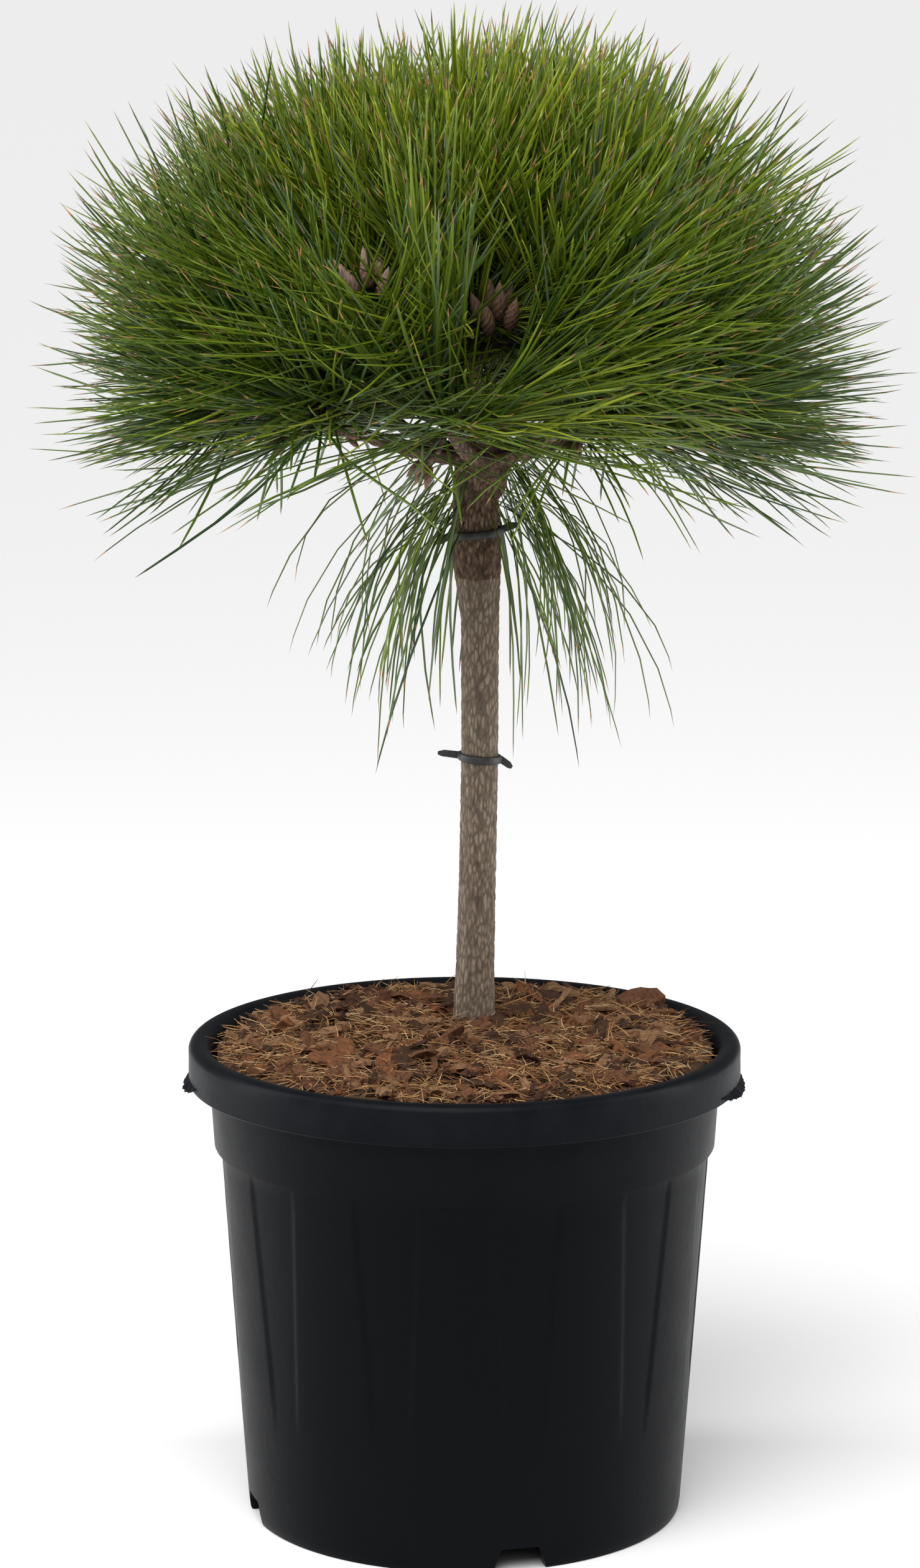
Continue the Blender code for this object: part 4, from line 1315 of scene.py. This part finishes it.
def shoot_needles(shoot, settings, rng):
    """Needle pairs along one shoot, swept forwards, closest together at its tip."""
    line = shoot["line"]
    pairs = settings.pairs
    share = np.sort(rng.random(pairs) ** CROWDING) * (1.0 - BARE_SHARE) + BARE_SHARE
    foot = along(line, share)
    ahead = unit(line[-1] - line[len(line) // 2])
    side, other = frame_along(ahead)
    turn = np.arange(pairs) * GOLDEN_TURN + rng.uniform(-0.2, 0.2, pairs)
    around = np.cos(turn)[:, None] * side + np.sin(turn)[:, None] * other
    sweep = SPREAD_LOSS * ((share - BARE_SHARE) / (1.0 - BARE_SHARE)) ** 1.1
    spread = np.radians(SPREAD_AT_FOOT - sweep + rng.normal(0.0, SPREAD_SCATTER, pairs))[:, None]
    first = np.cos(spread) * ahead + np.sin(spread) * around
    high = np.clip((shoot["tip"][2] - HEART[2]) / 0.12, -0.4, 1.0)
    low = np.clip(0.30 - high, 0.0, 0.7)
    droop = low * np.where(rng.random((pairs, 1)) < DROOPING_SHARE, 1.0, LEAST_DROOP)
    first = unit(first + UPWARD * (FOOT_LIFT * max(0.0, high)))
    pull = UPWARD * (TIP_LIFT * max(0.0, high) - droop)
    last = unit(first * FIRST_WEIGHT + ahead * SHOOT_WEIGHT + pull)
    foot = np.repeat(foot + around * NEEDLE_SEAT, 2, axis=0)
    first = unit(np.repeat(first, 2, axis=0) + rng.normal(0.0, FIRST_SCATTER, (2 * pairs, 3)))
    last = unit(np.repeat(last, 2, axis=0) + rng.normal(0.0, LAST_SCATTER, (2 * pairs, 3)))
    length = settings.needle_length * np.repeat(rng.uniform(*PAIR_LENGTHS, pairs), 2)
    length = length * rng.uniform(*SINGLE_LENGTHS, 2 * pairs)
    curl_size = np.where(rng.random(2 * pairs) < CURLED_SHARE, STRONG_CURL, SLIGHT_CURL)
    curl = rng.normal(0.0, 1.0, (2 * pairs, 3)) * curl_size[:, None]
    # Painted light and shade: each spray of the shoot takes a tone from where the shoot's tip sits in the
    # crown
    sprays = max(1, pairs // PAIRS_IN_SPRAY)
    dealt = np.array([deal_tones(shoot["tip"], rng) for _ in range(sprays)])
    tone = np.repeat(dealt[(np.arange(pairs) * sprays) // pairs], 2)
    odd = rng.random(2 * pairs)
    tone = np.where(odd < ODD_SHARE, np.clip(tone + rng.integers(-1, 2, 2 * pairs), 0, SHADE_TONE), tone)
    return foot, first, last, length, curl, tone, deal_tips(rng.random(2 * pairs), *TIP_CHANCES, tone)


def in_front(needles, centre):
    """How close each needle's line passes to a point, seen from the camera in front of it."""
    foot, first, last, length, curl = needles
    view = unit(CAMERA_PLACE - centre)
    near = np.full(len(foot), 9.0)
    for share in np.linspace(0.05, 1.0, 12):
        offset = needle_points((foot, first, last, length[:, None], curl), share) - centre
        depth = offset @ view
        aside = np.linalg.norm(offset - depth[:, None] * view, axis=1)
        near = np.where(depth > -0.004, np.minimum(near, aside), near)
    return near


def fit_to_outline(needles, rng):
    """Shorten needles that pass the crown's outline, and drop those under it or in front of the buds."""
    foot, first, last, length, curl, tone, tip = needles
    limit_share = rng.uniform(*SHOOT_LIMITS) * rng.uniform(*NEEDLE_LIMITS, len(foot))
    for _ in range(3):
        offset = needle_points((foot, first, last, length[:, None], curl), 1.0) - HEART
        over = np.maximum(0.0, np.linalg.norm(offset, axis=1) - crown_reach(offset) * limit_share)
        length = np.maximum(length - over * 1.05, SHORTEST_NEEDLE)
    ends = needle_points((foot, first, last, length[:, None], curl), 1.0)
    flat = np.hypot(ends[:, 0] - HEART[0], ends[:, 1])
    turn = np.arctan2(ends[:, 1], ends[:, 0] - HEART[0])
    facing = np.clip(np.cos(turn - FORK_TURN), 0.0, 1.0) ** 6
    sparse = rng.random(len(foot)) ** 4
    floor = HEART[2] - FLOOR_DROP - FLOOR_SLOPE * flat - STRAY_DROP * sparse * flat / STRAY_REACH
    floor += FRONT_LIFT * np.maximum(0.0, -ends[:, 1]) + facing * (FORK_LIFT + FORK_STRAY_LIFT * sparse)
    keep = ends[:, 2] > floor
    for shown, rise, radius in BUD_OPENINGS:
        near = in_front((foot, first, last, length, curl), BUD_SHOOTS[shown] + np.array((0.0, -0.002, rise)))
        keep &= (near > radius) | (rng.random(len(foot)) < OPENING_STRAYS)
    return tuple(part[keep] for part in (foot, first, last, length, curl, tone, tip))


def hanging_needles(azimuth, settings, rng):
    """Long needles that leave the fork and the boughs' undersides, arch out and hang round the trunk."""
    count = HANGING_COUNT
    turn = np.radians(azimuth + rng.normal(0.0, HANGING_SCATTER, count))
    aside = (turn + 1.5 * math.pi) % math.tau - math.pi
    turn = np.where(np.abs(aside) < HANGING_FRONT_GAP, turn + np.sign(aside) * HANGING_FRONT_GAP, turn)
    outward = np.stack((np.cos(turn), np.sin(turn), np.zeros(count)), axis=-1)
    centre = np.array([trunk_centre(height) for height in rng.uniform(*HANGING_HEIGHTS, count)])
    foot = centre + outward * rng.uniform(*HANGING_FOOT, count)[:, None]
    first = unit(outward + UPWARD * rng.uniform(*HANGING_RISE, count)[:, None])
    down = rng.uniform(*HANGING_DOWN, count)
    last = unit(outward * rng.uniform(*HANGING_OUT, count)[:, None] - UPWARD * down[:, None]
                + rng.normal(0.0, HANGING_LAST_SCATTER, (count, 3)))
    length = settings.needle_length * rng.uniform(*HANGING_LENGTH, count)
    curl = rng.normal(0.0, HANGING_CURL, (count, 3))
    # Painted shade: the hanging needles take tones dealt for a place just under the heart
    tone = np.array([deal_tones(HEART - 0.03 * UPWARD, rng) for _ in range(count)])
    return foot, first, last, length, curl, tone, deal_tips(rng.random(count), *HANGING_TIP_CHANCES, tone)


class PINE_OT_needles(bpy.types.Operator):
    """Grow the needle pairs of every shoot, one piece for each foliage mass"""

    bl_idname = "pine.needles"
    bl_label = "Needles"

    def execute(self, context):
        settings = context.scene.pine_crown
        finishes = [plain_finish(name, colour, 0.36, 0.5) for name, colour in NEEDLE_COLOURS]
        rng = np.random.default_rng(settings.seed + 2)
        by_mass = {}
        for shoot in grow_shoots(settings):
            needles = fit_to_outline(shoot_needles(shoot, settings, rng), rng)
            by_mass.setdefault(shoot["mass"], []).append(needles)
        for mass, groups in by_mass.items():
            joined = tuple(np.concatenate(parts) for parts in zip(*groups))
            piece = needle_piece(mass.replace("mass", "needles"), joined, settings.needle_width, finishes)
            seat(piece, "needles_low" if mass.startswith("lower") else "needles_high", mass)
        for index, azimuth in enumerate(HANGING_AZIMUTHS, 1):
            needles = hanging_needles(azimuth, settings, rng)
            width = settings.needle_width * HANGING_WIDTH
            piece = needle_piece(f"hanging_needles_{index}", needles, width, finishes)
            seat(piece, "needles_low", f"hanging_mass_{index}")
        missing = {cell[0] for cell in crown_cells()} - set(by_mass)
        if missing:
            raise RuntimeError(f"no shoot grew in {sorted(missing)}")
        return {"FINISHED"}


def tie_tail(length, pitch, azimuth, radius):
    """Flat strap end with a chamfered tip, as arrays round the tie's own centre."""
    half = 0.5 * TIE_HEIGHT
    outline = ((0.0, 0.92), (0.72, 0.86), (1.0, 0.35), (1.0, -0.45), (0.80, -0.80), (0.0, -0.92))
    turn, tilt = math.radians(azimuth), math.radians(pitch)
    outward = np.array((math.cos(turn), math.sin(turn), 0.0))
    ahead = outward * math.cos(tilt) - UPWARD * math.sin(tilt)
    upward = outward * math.sin(tilt) + UPWARD * math.cos(tilt)
    across = np.cross(upward, ahead)
    points = []
    for thick in (-TIE_TAIL_HALF, TIE_TAIL_HALF):
        points += [outward * radius + ahead * (x * length) + upward * (y * half) + across * thick
                   for x, y in outline]
    size = len(outline)
    corners = list(range(size)) + [size + k for k in reversed(range(size))]
    counts = [size, size]
    for k in range(size):
        after = (k + 1) % size
        corners += [after, k, k + size, after + size]
        counts.append(4)
    return np.array(points), np.array(corners), np.array(counts)


def build_tie(name, node, height, lean, tails, finish):
    """Flat rubber strap round the trunk, leaning a little, with two free ends."""
    half = 0.5 * TIE_HEIGHT
    inner = float(trunk_radius(height)) + TIE_GAP
    shape = ((0.0, 0.8), (0.3, 1.0), (0.75, 0.86), (1.0, 0.4))
    shape += tuple((out, -up) for out, up in reversed(shape)) + shape[:1]
    tie = turned(name, [(inner + out * TIE_THICKNESS, up * half) for out, up in shape], TIE_STEPS)
    centre = trunk_centre(height)
    slope = math.tan(math.radians(lean))
    for vertex in tie.data.vertices:
        vertex.co.z -= vertex.co.x * slope
        vertex.co += Vector(centre)
    for number, (length, pitch, azimuth) in enumerate(tails):
        start = inner + 0.3 * TIE_THICKNESS
        points, corners, counts = tie_tail(length, pitch, azimuth, start)
        points = points + centre - UPWARD * (start * math.cos(math.radians(azimuth)) * slope)
        end = mesh_piece(f"{name}_tail_{number}", points, corners, counts, (), smooth=False)
        face_outward(end)
        apply_modifier(end, "BEVEL", width=0.0003, segments=2)
        make_active(tie)
        end.select_set(True)
        bpy.ops.object.join()
    dress(tie, finish)
    make_active(tie)
    bpy.ops.object.shade_smooth_by_angle(angle=math.radians(35.0))
    seat(tie, "tie", node)


class PINE_OT_ties(bpy.types.Operator):
    """Fit the two rubber straps round the trunk"""

    bl_idname = "pine.ties"
    bl_label = "Ties"

    def execute(self, context):
        finish = speckled_finish("tie_rubber", ((0.3, (0.010, 0.010, 0.011)), (0.7, (0.022, 0.022, 0.023))),
                                 0.46, 500.0, 1.0, 0.0001, 0.5)
        for strap in TIES:
            build_tie(*strap, finish)
        return {"FINISHED"}


def softbox(name, place, target, width, height, power):
    light = bpy.data.lights.new(name, "AREA")
    light.shape = "RECTANGLE"
    light.size = width
    light.size_y = height
    light.energy = power
    lamp = bpy.data.objects.new(name, light)
    lamp.location = place
    lamp.rotation_euler = (Vector(target) - Vector(place)).to_track_quat("-Z", "Y").to_euler()
    bpy.context.scene.collection.objects.link(lamp)


class PINE_OT_studio(bpy.types.Operator):
    """Set up the pale floor, the soft studio lights and the camera"""

    bl_idname = "pine.studio"
    bl_label = "Studio"

    def execute(self, context):
        settings = context.scene.pine_studio
        deselect()
        bpy.ops.mesh.primitive_plane_add(size=FLOOR_SIZE, location=(0.0, 0.0, 0.0))
        floor = context.object
        floor.name = "studio_floor"
        floor.data.materials.append(plain_finish("studio_white", (0.90, 0.90, 0.90), 0.9, 0.1))
        sun = bpy.data.lights.new("overhead_light", "SUN")
        sun.energy = settings.top
        sun.angle = SUN_ANGLE
        lamp = bpy.data.objects.new("overhead_light", sun)
        lamp.rotation_euler = SUN_TURN
        context.scene.collection.objects.link(lamp)
        for *box, setting in SOFTBOXES:
            softbox(*box, getattr(settings, setting))
        world = bpy.data.worlds.new("studio_surround")
        world.use_nodes = True
        background = world.node_tree.nodes["Background"]
        background.inputs["Color"].default_value = (1.0, 1.0, 1.0, 1.0)
        background.inputs["Strength"].default_value = settings.sky
        context.scene.world = world
        camera_data = bpy.data.cameras.new("studio_camera")
        camera_data.lens = CAMERA_LENS
        camera_data.sensor_width = 36.0
        camera = bpy.data.objects.new("studio_camera", camera_data)
        camera.location = CAMERA_PLACE
        camera.rotation_euler = (math.radians(90.0) - CAMERA_PITCH, 0.0, 0.0)
        context.scene.collection.objects.link(camera)
        context.scene.camera = camera
        context.scene.view_settings.view_transform = "Standard"
        return {"FINISHED"}


class PINE_PT_panel(bpy.types.Panel):
    """Lists the steps that build the potted pine"""

    bl_idname = "PINE_PT_panel"
    bl_label = "Potted pine"
    bl_space_type = "VIEW_3D"
    bl_region_type = "UI"
    bl_category = "Potted pine"

    def draw(self, context):
        for operator in OPERATORS:
            self.layout.operator(operator.bl_idname)
        for name in SETTINGS:
            box = self.layout.box()
            group = getattr(context.scene, name)
            for key in group.__annotations__:
                box.prop(group, key)


SETTINGS = {
    "pine_container": ContainerSettings,
    "pine_mulch": MulchSettings,
    "pine_bark": BarkSettings,
    "pine_crown": CrownSettings,
    "pine_studio": StudioSettings,
}
OPERATORS = (PINE_OT_studio, PINE_OT_container, PINE_OT_mulch, PINE_OT_trunk, PINE_OT_boughs, PINE_OT_needles,
             PINE_OT_ties)


def register():
    for name, group in SETTINGS.items():
        bpy.utils.register_class(group)
        setattr(bpy.types.Scene, name, bpy.props.PointerProperty(type=group))
    for operator in OPERATORS:
        bpy.utils.register_class(operator)
    bpy.utils.register_class(PINE_PT_panel)


def unregister():
    bpy.utils.unregister_class(PINE_PT_panel)
    for operator in reversed(OPERATORS):
        bpy.utils.unregister_class(operator)
    for name, group in reversed(SETTINGS.items()):
        delattr(bpy.types.Scene, name)
        bpy.utils.unregister_class(group)


def main():
    register()
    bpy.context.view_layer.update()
    bpy.ops.pine.studio()
    bpy.ops.pine.container()
    bpy.ops.pine.mulch()
    bpy.ops.pine.trunk()
    bpy.ops.pine.boughs()
    bpy.ops.pine.needles()
    bpy.ops.pine.ties()


if __name__ == "__main__":
    main()
